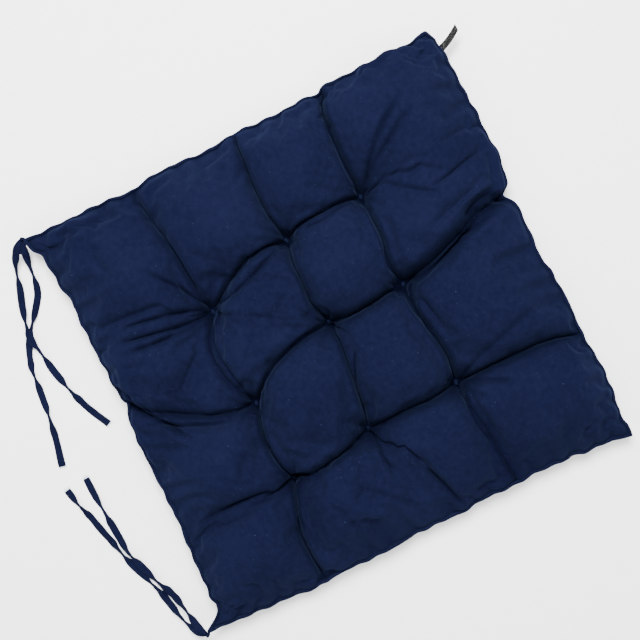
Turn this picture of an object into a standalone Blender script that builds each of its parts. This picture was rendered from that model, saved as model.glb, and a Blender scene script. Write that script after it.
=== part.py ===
"""A square tufted seat pad with a pair of ties at each rear corner and a folded label in its front seam.

The origin is the centre of the underside. +Z is up, +Y is the rear edge, which carries the ties,
and +X is to the right of someone who stands in front of the pad and looks at it. All sizes are in
metres.
"""

import math

import bmesh
import bpy
from mathutils import Vector

# ---- the pad ----
PAD_WIDTH = 0.400  # along X, between the side seams
PAD_DEPTH = 0.400  # along Y, between the front and rear seams
REAR_LEFT_DRIFT = (0.014, 0.014)  # the rear left corner was sewn this far out of square
SEAM_HEIGHT = 0.018  # the seam's middle above the underside
PILLOW_HEIGHT = 0.048  # the crown of each pillow above the underside
VALLEY_HEIGHT = 0.036  # the valley between two tufts, half way along it
UNDER_ROLL = 0.030  # how far in from the seam the underside curves up
CLOTH = 0.0012  # one fabric panel
CLEARANCE = 0.0003  # between any two pieces that touch

# ---- the tufts ----
TUFT_PITCH_X = 0.090
TUFT_PITCH_Y = 0.083
TUFT_DRIFT = {  # (column, row): how far each hand-placed tuft sits from its place in the grid
    (1, 1): (-0.023, -0.002),
    (1, 0): (0.004, -0.007),
    (1, -1): (0.008, -0.001),
    (0, 1): (-0.024, 0.001),
    (0, 0): (0.011, -0.008),
    (0, -1): (0.011, 0.001),
    (-1, 1): (-0.008, 0.001),
    (-1, 0): (0.000, 0.004),
    (-1, -1): (0.001, -0.001),
}
TUFT_TOP = 0.0155  # the top panel's height where a tuft holds it
TUFT_UNDER = 0.0065  # the bottom panel's height where a tuft holds it
DIMPLE_RADIUS = 0.011
DIMPLE_SHARE = 0.45  # how much of the way up to the pillow the dimple's rim lies
BAR_LENGTH = 0.0090  # a tuft's bar of thread
BAR_WIDTH = 0.0026
BAR_HEIGHT = 0.0014
STITCH_LENGTH = 0.0054  # the bundle of stitches that goes through the pad
STITCH_WIDTH = 0.0012
SEAT_MARGIN = 0.0010  # flat cloth past the bar

# ---- the edge seam ----
SEAM_THICKNESS = 0.0014

# ---- the label ----
LABEL_WIDTH = 0.0064
LABEL_LENGTH = 0.0245
LABEL_TAPE = 0.0003  # one layer of the folded tape
LABEL_FOLD_GAP = 0.0002  # between its two layers
LABEL_FROM_CORNER = 0.0200  # from the front right corner to the label's middle
LABEL_LEAN = math.radians(25)  # from straight out towards the right-hand side

# ---- the ties ----
TIE_ROUND = 0.0032  # diameter of a round cord with the folded tape's cross-section
TACK_RADIUS = 0.0015
TACK_HEIGHT = 0.0085

# Each tie's route, as (x, y) from the axis of its tack and its middle's height above the underside.
TIE_ROUTES = {
    "tie_right_outer": (
        (-0.0012, 0.0021, 0.0199),
        (-0.0050, 0.0084, 0.0193),
        (-0.0128, 0.0156, 0.0130),
        (-0.0229, 0.0221, 0.0055),
        (-0.0368, 0.0273, 0.0024),
        (-0.0532, 0.0329, 0.0032),
        (-0.0704, 0.0364, 0.0056),
        (-0.0831, 0.0384, 0.0056),
        (-0.0949, 0.0366, 0.0030),
        (-0.1129, 0.0346, 0.0019),
        (-0.1313, 0.0307, 0.0018),
        (-0.1490, 0.0257, 0.0018),
        (-0.1641, 0.0201, 0.0018),
        (-0.1825, 0.0111, 0.0018),
    ),
    "tie_right_inner": (
        (-0.0022, 0.0011, 0.0161),
        (-0.0085, 0.0040, 0.0152),
        (-0.0205, 0.0077, 0.0075),
        (-0.0333, 0.0106, 0.0027),
        (-0.0464, 0.0143, 0.0018),
        (-0.0567, 0.0211, 0.0018),
        (-0.0719, 0.0334, 0.0018),
        (-0.0862, 0.0436, 0.0018),
        (-0.1022, 0.0500, 0.0018),
        (-0.1176, 0.0523, 0.0018),
        (-0.1355, 0.0547, 0.0018),
        (-0.1536, 0.0571, 0.0018),
        (-0.1710, 0.0605, 0.0018),
        (-0.1856, 0.0640, 0.0018),
        (-0.1980, 0.0671, 0.0018),
    ),
    "tie_left_outer": (
        (0.0013, 0.0020, 0.0161),
        (0.0046, 0.0076, 0.0150),
        (0.0105, 0.0125, 0.0100),
        (0.0200, 0.0175, 0.0045),
        (0.0351, 0.0219, 0.0020),
        (0.0504, 0.0250, 0.0018),
        (0.0603, 0.0283, 0.0018),
        (0.0769, 0.0341, 0.0018),
        (0.0899, 0.0385, 0.0018),
        (0.1074, 0.0426, 0.0018),
        (0.1250, 0.0474, 0.0018),
        (0.1436, 0.0517, 0.0018),
        (0.1570, 0.0559, 0.0018),
        (0.1722, 0.0591, 0.0018),
    ),
    "tie_left_inner": (
        (0.0022, 0.0010, 0.0199),
        (0.0090, 0.0042, 0.0192),
        (0.0180, 0.0075, 0.0145),
        (0.0296, 0.0109, 0.0080),
        (0.0460, 0.0163, 0.0040),
        (0.0602, 0.0225, 0.0038),
        (0.0763, 0.0283, 0.0040),
        (0.0900, 0.0327, 0.0038),
        (0.0995, 0.0349, 0.0032),
        (0.1142, 0.0363, 0.0020),
        (0.1281, 0.0370, 0.0018),
        (0.1393, 0.0374, 0.0018),
        (0.1568, 0.0385, 0.0018),
        (0.1742, 0.0386, 0.0018),
    ),
}
TIE_STEP = 3.2  # diameters between two points of a tie's tube
TIE_SIDES = 2  # bevel resolution, which gives eight sides

# ---- the grid that the pad's surfaces share ----
# Shares of a cell between its outer border, or its first tuft, and its next tuft.
EDGE_CELL = (0.0, 0.04, 0.13, 0.30, 0.55, 0.80)
INNER_CELL = (0.0, 0.20, 0.50, 0.80)
FILLING_FROM = 2  # the filling starts at this line of the edge cell
CELLS = 4

# ---- colours ----
NAVY = (0.0103, 0.0185, 0.0578)
NAVY_THREAD = (0.0060, 0.0100, 0.0300)
NAVY_TAPE = (0.0110, 0.0190, 0.0600)
FIBRE_WHITE = (0.80, 0.80, 0.78)
LABEL_GREY = (0.075, 0.075, 0.080)


def clear_scene():
    for item in list(bpy.data.objects):
        bpy.data.objects.remove(item, do_unlink=True)


def material(name, colour, roughness):
    made = bpy.data.materials.new(name)
    made.use_nodes = True
    shader = made.node_tree.nodes["Principled BSDF"]
    shader.inputs["Base Color"].default_value = (*colour, 1.0)
    shader.inputs["Roughness"].default_value = roughness
    shader.inputs["Metallic"].default_value = 0.0
    return made


def add_object(name, mesh, finish):
    item = bpy.data.objects.new(name, mesh)
    bpy.context.scene.collection.objects.link(item)
    mesh.materials.clear()
    mesh.materials.append(finish)
    return item


def mesh_from(name, vertices, faces, smooth=True):
    """A mesh of these vertices and faces, its faces turned outwards."""
    shape = bmesh.new()
    made = [shape.verts.new(v) for v in vertices]
    for face in faces:
        shape.faces.new([made[i] for i in face])
    bmesh.ops.recalc_face_normals(shape, faces=shape.faces)
    mesh = bpy.data.meshes.new(name)
    shape.to_mesh(mesh)
    shape.free()
    if smooth:
        mesh.shade_smooth()
        mesh.set_sharp_from_angle(angle=math.radians(40))
    return mesh


# ---- plan: where things are from above ----


def corner(side_x, side_y):
    """A corner of the pad's sewn outline; each side is -1 or 1."""
    place = Vector((side_x * PAD_WIDTH / 2, side_y * PAD_DEPTH / 2))
    if (side_x, side_y) == (-1, 1):
        place += Vector(REAR_LEFT_DRIFT)
    return place


def tuft_place(column, row):
    drift = TUFT_DRIFT[column, row]
    return Vector((column * TUFT_PITCH_X + drift[0], row * TUFT_PITCH_Y + drift[1]))


def edge_place(column, row):
    """Where the grid's line through this column or row of tufts meets the outline."""
    if abs(column) == 2 and abs(row) == 2:
        return corner(column // 2, row // 2)
    if abs(column) == 2:
        front, rear = corner(column // 2, -1), corner(column // 2, 1)
        return front.lerp(rear, 0.5 + row * TUFT_PITCH_Y / PAD_DEPTH)
    left, right = corner(-1, row // 2), corner(1, row // 2)
    return left.lerp(right, 0.5 + column * TUFT_PITCH_X / PAD_WIDTH)


def knot(column, row):
    """A corner of the grid's cells: a tuft inside the pad, or a place on its outline."""
    if max(abs(column), abs(row)) == 2:
        return edge_place(column, row)
    return tuft_place(column, row)


def grid_lines():
    """The grid's lines along one axis, as (cell, share of the cell)."""
    first = [(0, share) for share in EDGE_CELL]
    inner = [(cell, share) for cell in range(1, CELLS - 1) for share in INNER_CELL]
    last = [(CELLS - 1, 1.0 - share) for share in reversed(EDGE_CELL[1:])]
    return first + inner + [(CELLS - 1, 0.0)] + last + [(CELLS - 1, 1.0)]


def plan_point(line_x, line_y):
    (cell_x, share_x), (cell_y, share_y) = line_x, line_y
    column, row = cell_x - 2, cell_y - 2
    near = knot(column, row).lerp(knot(column + 1, row), share_x)
    far = knot(column, row + 1).lerp(knot(column + 1, row + 1), share_x)
    return near.lerp(far, share_y)


# ---- section: how high the two panels are ----


def rise_from_edge(share):
    """A quarter circle from the outline up to the middle of an edge cell, then level."""
    inward = min(share / 0.5, 1.0)
    return math.sqrt(1.0 - (1.0 - inward) ** 2)


def rise_between(share):
    """A pillow's round section, from one tuft to the next."""
    return max(math.sin(math.pi * share), 0.0) ** 0.6


def rises(line):
    """Along one axis: how far a pillow has risen, and how far the outline has been left behind."""
    cell, share = line
    if 0 < cell < CELLS - 1:
        return rise_between(share), 1.0
    from_edge = share if cell == 0 else 1.0 - share
    if from_edge < 0.5:
        return rise_from_edge(from_edge), rise_from_edge(from_edge)
    return rise_between(from_edge), 1.0


def edge_share(line):
    """The share of an edge cell between the outline and this line; 1 in an inner cell."""
    cell, share = line
    if cell == 0:
        return share
    return 1.0 - share if cell == CELLS - 1 else 1.0


def top_height(line_x, line_y):
    rise_x, left_x = rises(line_x)
    rise_y, left_y = rises(line_y)
    at_edge = SEAM_HEIGHT + CLOTH + CLEARANCE / 2
    base = at_edge + (TUFT_TOP - at_edge) * min(edge_share(line_x), edge_share(line_y))
    valley = VALLEY_HEIGHT - TUFT_TOP
    pillow = PILLOW_HEIGHT - TUFT_TOP
    ridges = rise_x * left_y + rise_y * left_x - rise_x * rise_y
    return base + valley * ridges + (pillow - valley) * rise_x * rise_y


def under_height(line_x, line_y):
    at_edge = SEAM_HEIGHT - CLOTH - CLEARANCE / 2
    cell_x = PAD_WIDTH / 2 - TUFT_PITCH_X
    cell_y = PAD_DEPTH / 2 - TUFT_PITCH_Y
    inward = min(edge_share(line_x) * cell_x, edge_share(line_y) * cell_y, UNDER_ROLL)
    return at_edge * (1.0 - math.sqrt(1.0 - (1.0 - inward / UNDER_ROLL) ** 2))


# ---- the layers: panels and filling ----

RING_STEPS = ((-1, -1), (0, -1), (1, -1), (1, 0), (1, 1), (0, 1), (-1, 1), (-1, 0))


class Plan:
    """The shared grid seen from above: its points with both heights, its faces and its borders."""

    def __init__(self, first_line):
        self.points = []  # (x, y, top height, under height)
        self.faces = []
        self.borders = []
        lines = grid_lines()
        self.lines = lines[first_line : len(lines) - first_line]
        tufts = {self.tuft_index(c, r): (c, r) for c in (-1, 0, 1) for r in (-1, 0, 1)}
        count = len(self.lines)
        self.at = {}
        for i in range(count):
            for j in range(count):
                if (i, j) not in tufts:
                    self.at[i, j] = self.add_grid_point(self.lines[i], self.lines[j])
        for i in range(count - 1):
            for j in range(count - 1):
                around = ((i, j), (i + 1, j), (i + 1, j + 1), (i, j + 1))
                if not any(place in tufts for place in around):
                    self.add_quad([self.at[place] for place in around])
        for (i, j), (column, row) in tufts.items():
            self.add_tuft(i, j, tuft_place(column, row))
        self.borders.append(self.outline(count - 1))

    def tuft_index(self, column, row):
        return self.lines.index((column + 2, 0.0)), self.lines.index((row + 2, 0.0))

    def add_grid_point(self, line_x, line_y):
        place = plan_point(line_x, line_y)
        heights = top_height(line_x, line_y), under_height(line_x, line_y)
        self.points.append((place.x, place.y, *heights))
        return len(self.points) - 1

    def add_quad(self, quad):
        """Two triangles, split the same way on every layer, so that the layers stay parallel."""
        a, b, c, d = quad
        self.faces += [(a, b, c), (a, c, d)]

    def add_ring(self, centre, half_x, half_y, heights):
        start = len(self.points)
        for step_x, step_y in RING_STEPS:
            x, y = centre.x + step_x * half_x, centre.y + step_y * half_y
            self.points.append((x, y, *heights))
        return list(range(start, start + len(RING_STEPS)))

    def join_rings(self, outer, inner):
        for k in range(len(outer)):
            after = (k + 1) % len(outer)
            self.add_quad([outer[k], outer[after], inner[after], inner[k]])

    def add_tuft(self, i, j, centre):
        """The dimple, the flat seat of the bar and the slot that the stitches go through."""
        grid = [self.at[i + step_x, j + step_y] for step_x, step_y in RING_STEPS]
        highest = sum(self.points[k][2] for k in grid) / len(grid)
        rim = TUFT_TOP + DIMPLE_SHARE * (highest - TUFT_TOP)
        side = DIMPLE_RADIUS * math.sqrt(0.5)
        dimple = self.add_ring(centre, side, side, (rim, 0.0))
        held = (TUFT_TOP, TUFT_UNDER)
        seat_x = BAR_LENGTH / 2 + SEAT_MARGIN
        seat_y = BAR_WIDTH / 2 + SEAT_MARGIN
        seat = self.add_ring(centre, seat_x, seat_y, held)
        slot_x = STITCH_LENGTH / 2 + CLEARANCE
        slot_y = STITCH_WIDTH / 2 + CLEARANCE
        slot = self.add_ring(centre, slot_x, slot_y, held)
        for outer, inner in ((grid, dimple), (dimple, seat), (seat, slot)):
            self.join_rings(outer, inner)
        self.borders.append(slot[::-1])

    def outline(self, last):
        """The grid's outer border, anticlockwise."""
        places = [(i, 0) for i in range(last)]
        places += [(last, j) for j in range(last)]
        places += [(i, last) for i in range(last, 0, -1)]
        places += [(0, j) for j in range(last, 0, -1)]
        return [self.at[place] for place in places]

    def layer(self, name, upper, lower):
        """A closed layer between two heights, each a function of (top height, under height)."""
        high = [(x, y, upper(top, under)) for x, y, top, under in self.points]
        low = [(x, y, lower(top, under)) for x, y, top, under in self.points]
        count = len(self.points)
        faces = list(self.faces)
        faces += [tuple(count + k for k in reversed(face)) for face in self.faces]
        for border in self.borders:
            for a, b in zip(border, border[1:] + border[:1]):
                faces += [(b, a, count + a), (b, count + a, count + b)]
        return mesh_from(name, high + low, faces)


def add_layers():
    whole = Plan(0)
    inner = Plan(FILLING_FROM)
    sunk = CLOTH + CLEARANCE
    cover = material("navy_cloth", NAVY, 0.85)
    under = material("navy_cloth_under", NAVY, 0.88)
    fibre = material("fibre", FIBRE_WHITE, 0.95)
    top = whole.layer("cover_top", lambda t, u: t, lambda t, u: t - CLOTH)
    add_object("cover_top", top, cover)
    bottom = whole.layer("cover_bottom", lambda t, u: u + CLOTH, lambda t, u: u)
    add_object("cover_bottom", bottom, under)
    filling = inner.layer("filling", lambda t, u: t - sunk, lambda t, u: u + sunk)
    add_object("filling", filling, fibre)


# ---- the tufts ----


def rounded_section(half_x, half_y, height):
    """Eight points of a rectangle with cut corners."""
    cut = 0.35 * min(half_x, half_y)
    return [
        (half_x, half_y - cut, height),
        (half_x - cut, half_y, height),
        (cut - half_x, half_y, height),
        (-half_x, half_y - cut, height),
        (-half_x, cut - half_y, height),
        (cut - half_x, -half_y, height),
        (half_x - cut, -half_y, height),
        (half_x, cut - half_y, height),
    ]


def loft(name, sections):
    """A closed solid through sections of the same number of points, from the lowest up."""
    vertices = [point for section in sections for point in section]
    size = len(sections[0])
    faces = [tuple(reversed(range(size)))]
    for k in range(len(sections) - 1):
        for m in range(size):
            after = (m + 1) % size
            low, high = k * size, (k + 1) * size
            faces.append((low + m, low + after, high + after, high + m))
    faces.append(tuple(range(len(vertices) - size, len(vertices))))
    return mesh_from(name, vertices, faces)


def add_tufts():
    """One bar tack through the whole pad for each tuft: a bar above, a bar below, stitches between."""
    finish = material("tuft_thread", NAVY_THREAD, 0.7)
    bar = BAR_LENGTH / 2, BAR_WIDTH / 2
    stitch = STITCH_LENGTH / 2, STITCH_WIDTH / 2
    under_bar = TUFT_UNDER - CLEARANCE
    top_bar = TUFT_TOP + CLEARANCE
    sections = [
        rounded_section(*bar, under_bar - BAR_HEIGHT),
        rounded_section(*bar, under_bar),
        rounded_section(*stitch, under_bar),
        rounded_section(*stitch, top_bar),
        rounded_section(*bar, top_bar),
        rounded_section(*bar, top_bar + BAR_HEIGHT),
    ]
    mesh = loft("tuft", sections)
    number = 0
    for row in (1, 0, -1):
        for column in (1, 0, -1):
            number += 1
            item = add_object(f"tuft_{number}", mesh, finish)
            place = tuft_place(column, row)
            item.location = (place.x, place.y, 0.0)


# ---- the seam, the tacks and the label ----


def seam_half_height():
    return CLOTH + CLEARANCE / 2


def outward(side_x, side_y, distance):
    """A corner of the outline moved out so that both sides beside it move out by this distance."""
    here = corner(side_x, side_y)
    along_x = (here - corner(-side_x, side_y)).normalized()
    along_y = (here - corner(side_x, -side_y)).normalized()
    sine = abs(along_x.cross(along_y))
    return here + (along_x + along_y) * (distance / sine)


def add_seam():
    """The turned and sewn edge, a bead that follows the outline and closes the two panels."""
    inner = CLEARANCE
    outer = CLEARANCE + SEAM_THICKNESS
    half = seam_half_height()
    bevel = SEAM_THICKNESS * 0.3
    profile = (
        (inner, half),
        (inner, -half),
        (outer - bevel, -half),
        (outer, bevel - half),
        (outer, half - bevel),
        (outer - bevel, half),
    )
    corners = ((-1, -1), (1, -1), (1, 1), (-1, 1))
    vertices = []
    for side in corners:
        for distance, height in profile:
            place = outward(*side, distance)
            vertices.append((place.x, place.y, SEAM_HEIGHT + height))
    size = len(profile)
    faces = []
    for k in range(len(corners)):
        after = (k + 1) % len(corners)
        for m in range(size):
            step = (m + 1) % size
            a, b = k * size + m, k * size + step
            c, d = after * size + step, after * size + m
            faces.append((a, b, c, d))
    mesh = mesh_from("edge_seam", vertices, faces)
    add_object("edge_seam", mesh, material("seam", NAVY, 0.8))


def tack_place(side_x):
    """A tack stands just outside the seam's corner."""
    seam_corner = outward(side_x, 1, CLEARANCE + SEAM_THICKNESS)
    away = (seam_corner - corner(side_x, 1)).normalized()
    return seam_corner + away * (CLEARANCE + TACK_RADIUS)


def add_tack(name, side_x):
    """The upright tack of thread that the two ties of a corner are sewn to."""
    shape = bmesh.new()
    bmesh.ops.create_cone(
        shape,
        cap_ends=True,
        segments=12,
        radius1=TACK_RADIUS,
        radius2=TACK_RADIUS,
        depth=TACK_HEIGHT,
    )
    mesh = bpy.data.meshes.new(name)
    shape.to_mesh(mesh)
    shape.free()
    mesh.shade_smooth()
    mesh.set_sharp_from_angle(angle=math.radians(40))
    item = add_object(name, mesh, material(name, NAVY_THREAD, 0.7))
    place = tack_place(side_x)
    item.location = (place.x, place.y, SEAM_HEIGHT)


def add_label():
    """A tape folded in half, its two cut ends in the front seam and its fold outside."""
    half_fold = LABEL_FOLD_GAP / 2
    half = half_fold + LABEL_TAPE
    pivot_gap = half + CLEARANCE
    start = CLEARANCE - pivot_gap  # the root lies just outside the seam
    inside_end = LABEL_LENGTH - LABEL_TAPE
    outline = (
        (start, half_fold),
        (inside_end, half_fold),
        (inside_end, -half_fold),
        (start, -half_fold),
        (start, -half),
        (LABEL_LENGTH - LABEL_TAPE, -half),
        (LABEL_LENGTH, -half_fold),
        (LABEL_LENGTH, half_fold),
        (LABEL_LENGTH - LABEL_TAPE, half),
        (start, half),
    )
    vertices = []
    for side in (-1, 1):
        for out, height in outline:
            x = side * LABEL_WIDTH / 2 + max(out, 0.0) * math.tan(LABEL_LEAN)
            vertices.append((x, -out, height))
    size = len(outline)
    faces = []
    for k in range(size):
        after = (k + 1) % size
        faces.append((k, after, size + after, size + k))
    caps = ((0, 1, 8, 9), (1, 2, 6, 7), (1, 7, 8), (2, 3, 4, 5), (2, 5, 6))
    faces += caps
    faces += [tuple(size + k for k in reversed(cap)) for cap in caps]
    mesh = mesh_from("label", vertices, faces, smooth=False)
    item = add_object("label", mesh, material("label", LABEL_GREY, 0.8))
    seam_face = PAD_DEPTH / 2 + CLEARANCE + SEAM_THICKNESS
    item.location = (PAD_WIDTH / 2 - LABEL_FROM_CORNER, -(seam_face + pivot_gap), SEAM_HEIGHT)


# ---- the ties ----


def smooth_route(points, step):
    """Evenly spaced points on the Catmull-Rom curve through a route's own points."""
    knots = [Vector(p) for p in points]
    ends = [2 * knots[0] - knots[1]] + knots + [2 * knots[-1] - knots[-2]]
    dense = []
    for a, b, c, d in zip(ends, ends[1:], ends[2:], ends[3:]):
        for k in range(16):
            t = k / 16
            cubic = (3 * b - a - 3 * c + d) * t**3
            square = (2 * a - 5 * b + 4 * c - d) * t**2
            dense.append((cubic + square + (c - a) * t + 2 * b) / 2)
    dense.append(knots[-1])
    total = sum((q - p).length for p, q in zip(dense, dense[1:]))
    count = max(round(total / step), 2)
    even, walked, target = [dense[0]], 0.0, total / count
    for p, q in zip(dense, dense[1:]):
        length = (q - p).length
        while len(even) < count and walked + length >= target * len(even):
            even.append(p.lerp(q, (target * len(even) - walked) / length))
        walked += length
    return even + [dense[-1]]


def add_tie(name, route, finish):
    curve = bpy.data.curves.new(name, "CURVE")
    curve.dimensions = "3D"
    curve.bevel_depth = TIE_ROUND / 2
    curve.bevel_resolution = TIE_SIDES
    curve.use_fill_caps = True
    tack = tack_place(1 if "right" in name else -1)
    from_tack = [(tack.x + x, tack.y + y, z) for x, y, z in route]
    points = smooth_route(from_tack, TIE_STEP * TIE_ROUND)
    spline = curve.splines.new("POLY")
    spline.points.add(len(points) - 1)
    for slot, place in zip(spline.points, points):
        slot.co = (*place, 1.0)
    spline.use_smooth = True
    item = bpy.data.objects.new(name, curve)
    bpy.context.scene.collection.objects.link(item)
    curve.materials.append(finish)


def add_ties():
    finish = material("tie_tape", NAVY_TAPE, 0.8)
    for name, route in TIE_ROUTES.items():
        add_tie(name, route, finish)


clear_scene()
add_layers()
add_tufts()
add_seam()
add_tack("tack_right", 1)
add_tack("tack_left", -1)
add_label()
add_ties()
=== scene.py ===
import math
import random

import bpy
import numpy as np
from mathutils import Matrix, Vector


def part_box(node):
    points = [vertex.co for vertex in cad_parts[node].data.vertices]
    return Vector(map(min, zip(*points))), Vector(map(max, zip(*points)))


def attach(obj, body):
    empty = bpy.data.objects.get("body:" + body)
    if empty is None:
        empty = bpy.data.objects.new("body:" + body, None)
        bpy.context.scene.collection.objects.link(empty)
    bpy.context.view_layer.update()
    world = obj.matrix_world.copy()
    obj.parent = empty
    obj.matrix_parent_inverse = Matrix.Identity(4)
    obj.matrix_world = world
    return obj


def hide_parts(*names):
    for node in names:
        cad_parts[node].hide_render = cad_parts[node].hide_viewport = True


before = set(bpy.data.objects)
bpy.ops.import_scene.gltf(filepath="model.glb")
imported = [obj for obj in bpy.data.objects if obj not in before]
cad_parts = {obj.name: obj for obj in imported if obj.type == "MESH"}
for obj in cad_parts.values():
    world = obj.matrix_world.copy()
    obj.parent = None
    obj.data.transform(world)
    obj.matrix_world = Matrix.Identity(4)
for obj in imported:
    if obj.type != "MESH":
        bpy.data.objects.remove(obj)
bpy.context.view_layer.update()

scene = bpy.context.scene

# ---- the camera: almost straight down on the pad, turned so that its rear edge is at lower left ----
CAMERA_PLACE = (0.01614, -0.03000, 0.96767)
CAMERA_ANGLES = (-0.768, 1.547, -117.188)
CAMERA_LENS = 60.0


def add_camera():
    data = bpy.data.cameras.new("camera")
    data.lens = CAMERA_LENS
    data.sensor_width = 36.0
    data.clip_start = 0.01
    item = bpy.data.objects.new("camera", data)
    scene.collection.objects.link(item)
    item.location = CAMERA_PLACE
    item.rotation_euler = [math.radians(a) for a in CAMERA_ANGLES]
    scene.camera = item


# ---- node helpers ----


def new_material(name, roughness, **constants):
    """A material with its Principled shader; constants are the names of its sockets."""
    made = bpy.data.materials.new(name)
    made.use_nodes = True
    shader = made.node_tree.nodes["Principled BSDF"]
    shader.inputs["Roughness"].default_value = roughness
    for socket, value in constants.items():
        shader.inputs[socket.replace("_", " ")].default_value = value
    return made, made.node_tree, shader


def node(tree, kind, **values):
    made = tree.nodes.new(kind)
    for key, value in values.items():
        if key in made.inputs:
            made.inputs[key].default_value = value
        else:
            setattr(made, key, value)
    return made


def link(tree, source, target):
    tree.links.new(source, target)


# ---- the ties: a flat tape with a half twist here and there ----
TAPE_WIDTH = 0.0066
TAPE_THICKNESS = 0.0011
TWIST_WIDTH = 0.55  # how much of its width the tape keeps at a half twist
TWIST_REACH = 0.017  # how far to each side of a half twist the tape turns over
ROUTE_LIFT = 0.0018  # the route's height where the tape lies on the floor

# Each tie's route, as (x, y) from the axis of its tack and its middle's height above the underside.
TIE_ROUTES = {
    "tie_right_outer": (
        (-0.0012, 0.0021, 0.0199),
        (-0.0050, 0.0084, 0.0193),
        (-0.0128, 0.0156, 0.0130),
        (-0.0229, 0.0221, 0.0055),
        (-0.0368, 0.0273, 0.0024),
        (-0.0532, 0.0329, 0.0032),
        (-0.0704, 0.0364, 0.0056),
        (-0.0831, 0.0384, 0.0056),
        (-0.0949, 0.0366, 0.0030),
        (-0.1129, 0.0346, 0.0019),
        (-0.1313, 0.0307, 0.0018),
        (-0.1490, 0.0257, 0.0018),
        (-0.1641, 0.0201, 0.0018),
        (-0.1825, 0.0111, 0.0018),
    ),
    "tie_right_inner": (
        (-0.0022, 0.0011, 0.0161),
        (-0.0085, 0.0040, 0.0152),
        (-0.0205, 0.0077, 0.0075),
        (-0.0333, 0.0106, 0.0027),
        (-0.0464, 0.0143, 0.0018),
        (-0.0567, 0.0211, 0.0018),
        (-0.0719, 0.0334, 0.0018),
        (-0.0862, 0.0436, 0.0018),
        (-0.1022, 0.0500, 0.0018),
        (-0.1176, 0.0523, 0.0018),
        (-0.1355, 0.0547, 0.0018),
        (-0.1536, 0.0571, 0.0018),
        (-0.1710, 0.0605, 0.0018),
        (-0.1856, 0.0640, 0.0018),
        (-0.1980, 0.0671, 0.0018),
    ),
    "tie_left_outer": (
        (0.0013, 0.0020, 0.0161),
        (0.0046, 0.0076, 0.0150),
        (0.0105, 0.0125, 0.0100),
        (0.0200, 0.0175, 0.0045),
        (0.0351, 0.0219, 0.0020),
        (0.0504, 0.0250, 0.0018),
        (0.0603, 0.0283, 0.0018),
        (0.0769, 0.0341, 0.0018),
        (0.0899, 0.0385, 0.0018),
        (0.1074, 0.0426, 0.0018),
        (0.1250, 0.0474, 0.0018),
        (0.1436, 0.0517, 0.0018),
        (0.1570, 0.0559, 0.0018),
        (0.1722, 0.0591, 0.0018),
    ),
    "tie_left_inner": (
        (0.0022, 0.0010, 0.0199),
        (0.0090, 0.0042, 0.0192),
        (0.0180, 0.0075, 0.0145),
        (0.0296, 0.0109, 0.0080),
        (0.0460, 0.0163, 0.0040),
        (0.0602, 0.0225, 0.0038),
        (0.0763, 0.0283, 0.0040),
        (0.0900, 0.0327, 0.0038),
        (0.0995, 0.0349, 0.0032),
        (0.1142, 0.0363, 0.0020),
        (0.1281, 0.0370, 0.0018),
        (0.1393, 0.0374, 0.0018),
        (0.1568, 0.0385, 0.0018),
        (0.1742, 0.0386, 0.0018),
    ),
}

# Where along each tie, as shares of its length, the tape makes a half twist.
TIE_TWISTS = {
    "tie_right_outer": (0.154, 0.409, 0.543, 0.768),
    "tie_right_inner": (0.131, 0.376, 0.595, 0.799),
    "tie_left_outer": (0.150, 0.353, 0.597, 0.898),
    "tie_left_inner": (0.170, 0.359, 0.568, 0.812),
}
TIE_SECTION = 18  # points round the tape
TIE_STEP = 0.0012  # between two sections
PATH_STEP = 0.008
FLOOR_GAP = 0.0002  # between the tape and the floor
ROOT_REACH = 0.008  # a tape is gathered by its tack, and widens over this length
ROOT_WIDTH = 0.62  # the share of its width there


def smooth_route(points, step):
    """Evenly spaced points on the Catmull-Rom curve through a route's own points."""
    knots = [Vector(p) for p in points]
    ends = [2 * knots[0] - knots[1]] + knots + [2 * knots[-1] - knots[-2]]
    dense = []
    for a, b, c, d in zip(ends, ends[1:], ends[2:], ends[3:]):
        for k in range(32):
            t = k / 32
            cubic = (3 * b - a - 3 * c + d) * t**3
            square = (2 * a - 5 * b + 4 * c - d) * t**2
            dense.append((cubic + square + (c - a) * t + 2 * b) / 2)
    dense.append(knots[-1])
    total = sum((q - p).length for p, q in zip(dense, dense[1:]))
    count = max(round(total / step), 2)
    even, walked, target = [dense[0]], 0.0, total / count
    for p, q in zip(dense, dense[1:]):
        length = (q - p).length
        while len(even) < count and walked + length >= target * len(even):
            even.append(p.lerp(q, (target * len(even) - walked) / length))
        walked += length
    return even + [dense[-1]]


def route_length(points):
    return sum((q - p).length for p, q in zip(points, points[1:]))


def box_centre(name):
    low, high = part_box(name)
    return (Vector(low) + Vector(high)) / 2


def smooth_step(t):
    t = min(max(t, 0.0), 1.0)
    return t * t * (3.0 - 2.0 * t)


def tie_points(name):
    """The points of a tie's route, in the frame's own axes."""
    tack = box_centre("tack_right" if "right" in name else "tack_left")
    return [(tack.x + x, tack.y + y, z) for x, y, z in TIE_ROUTES[name]]


def tie_body(name):
    return "right_ties" if "right" in name else "left_ties"


def tape_turn(along, twists, length):
    """How far the tape has turned over at a place along it, in radians."""
    turned = 0.0
    for count, share in enumerate(twists):
        away = along - share * length
        way = 1.0 if count % 2 == 0 else -1.0
        turned += way * math.pi * smooth_step(0.5 + away / (2 * TWIST_REACH))
    return turned


def new_mesh_object(name, vertices, faces, finish, smooth=True):
    mesh = bpy.data.meshes.new(name)
    mesh.from_pydata([tuple(v) for v in vertices], [], [tuple(int(k) for k in f) for f in faces])
    mesh.update()
    if smooth:
        mesh.shade_smooth()
    item = bpy.data.objects.new(name, mesh)
    scene.collection.objects.link(item)
    mesh.materials.append(finish)
    return item


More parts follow.
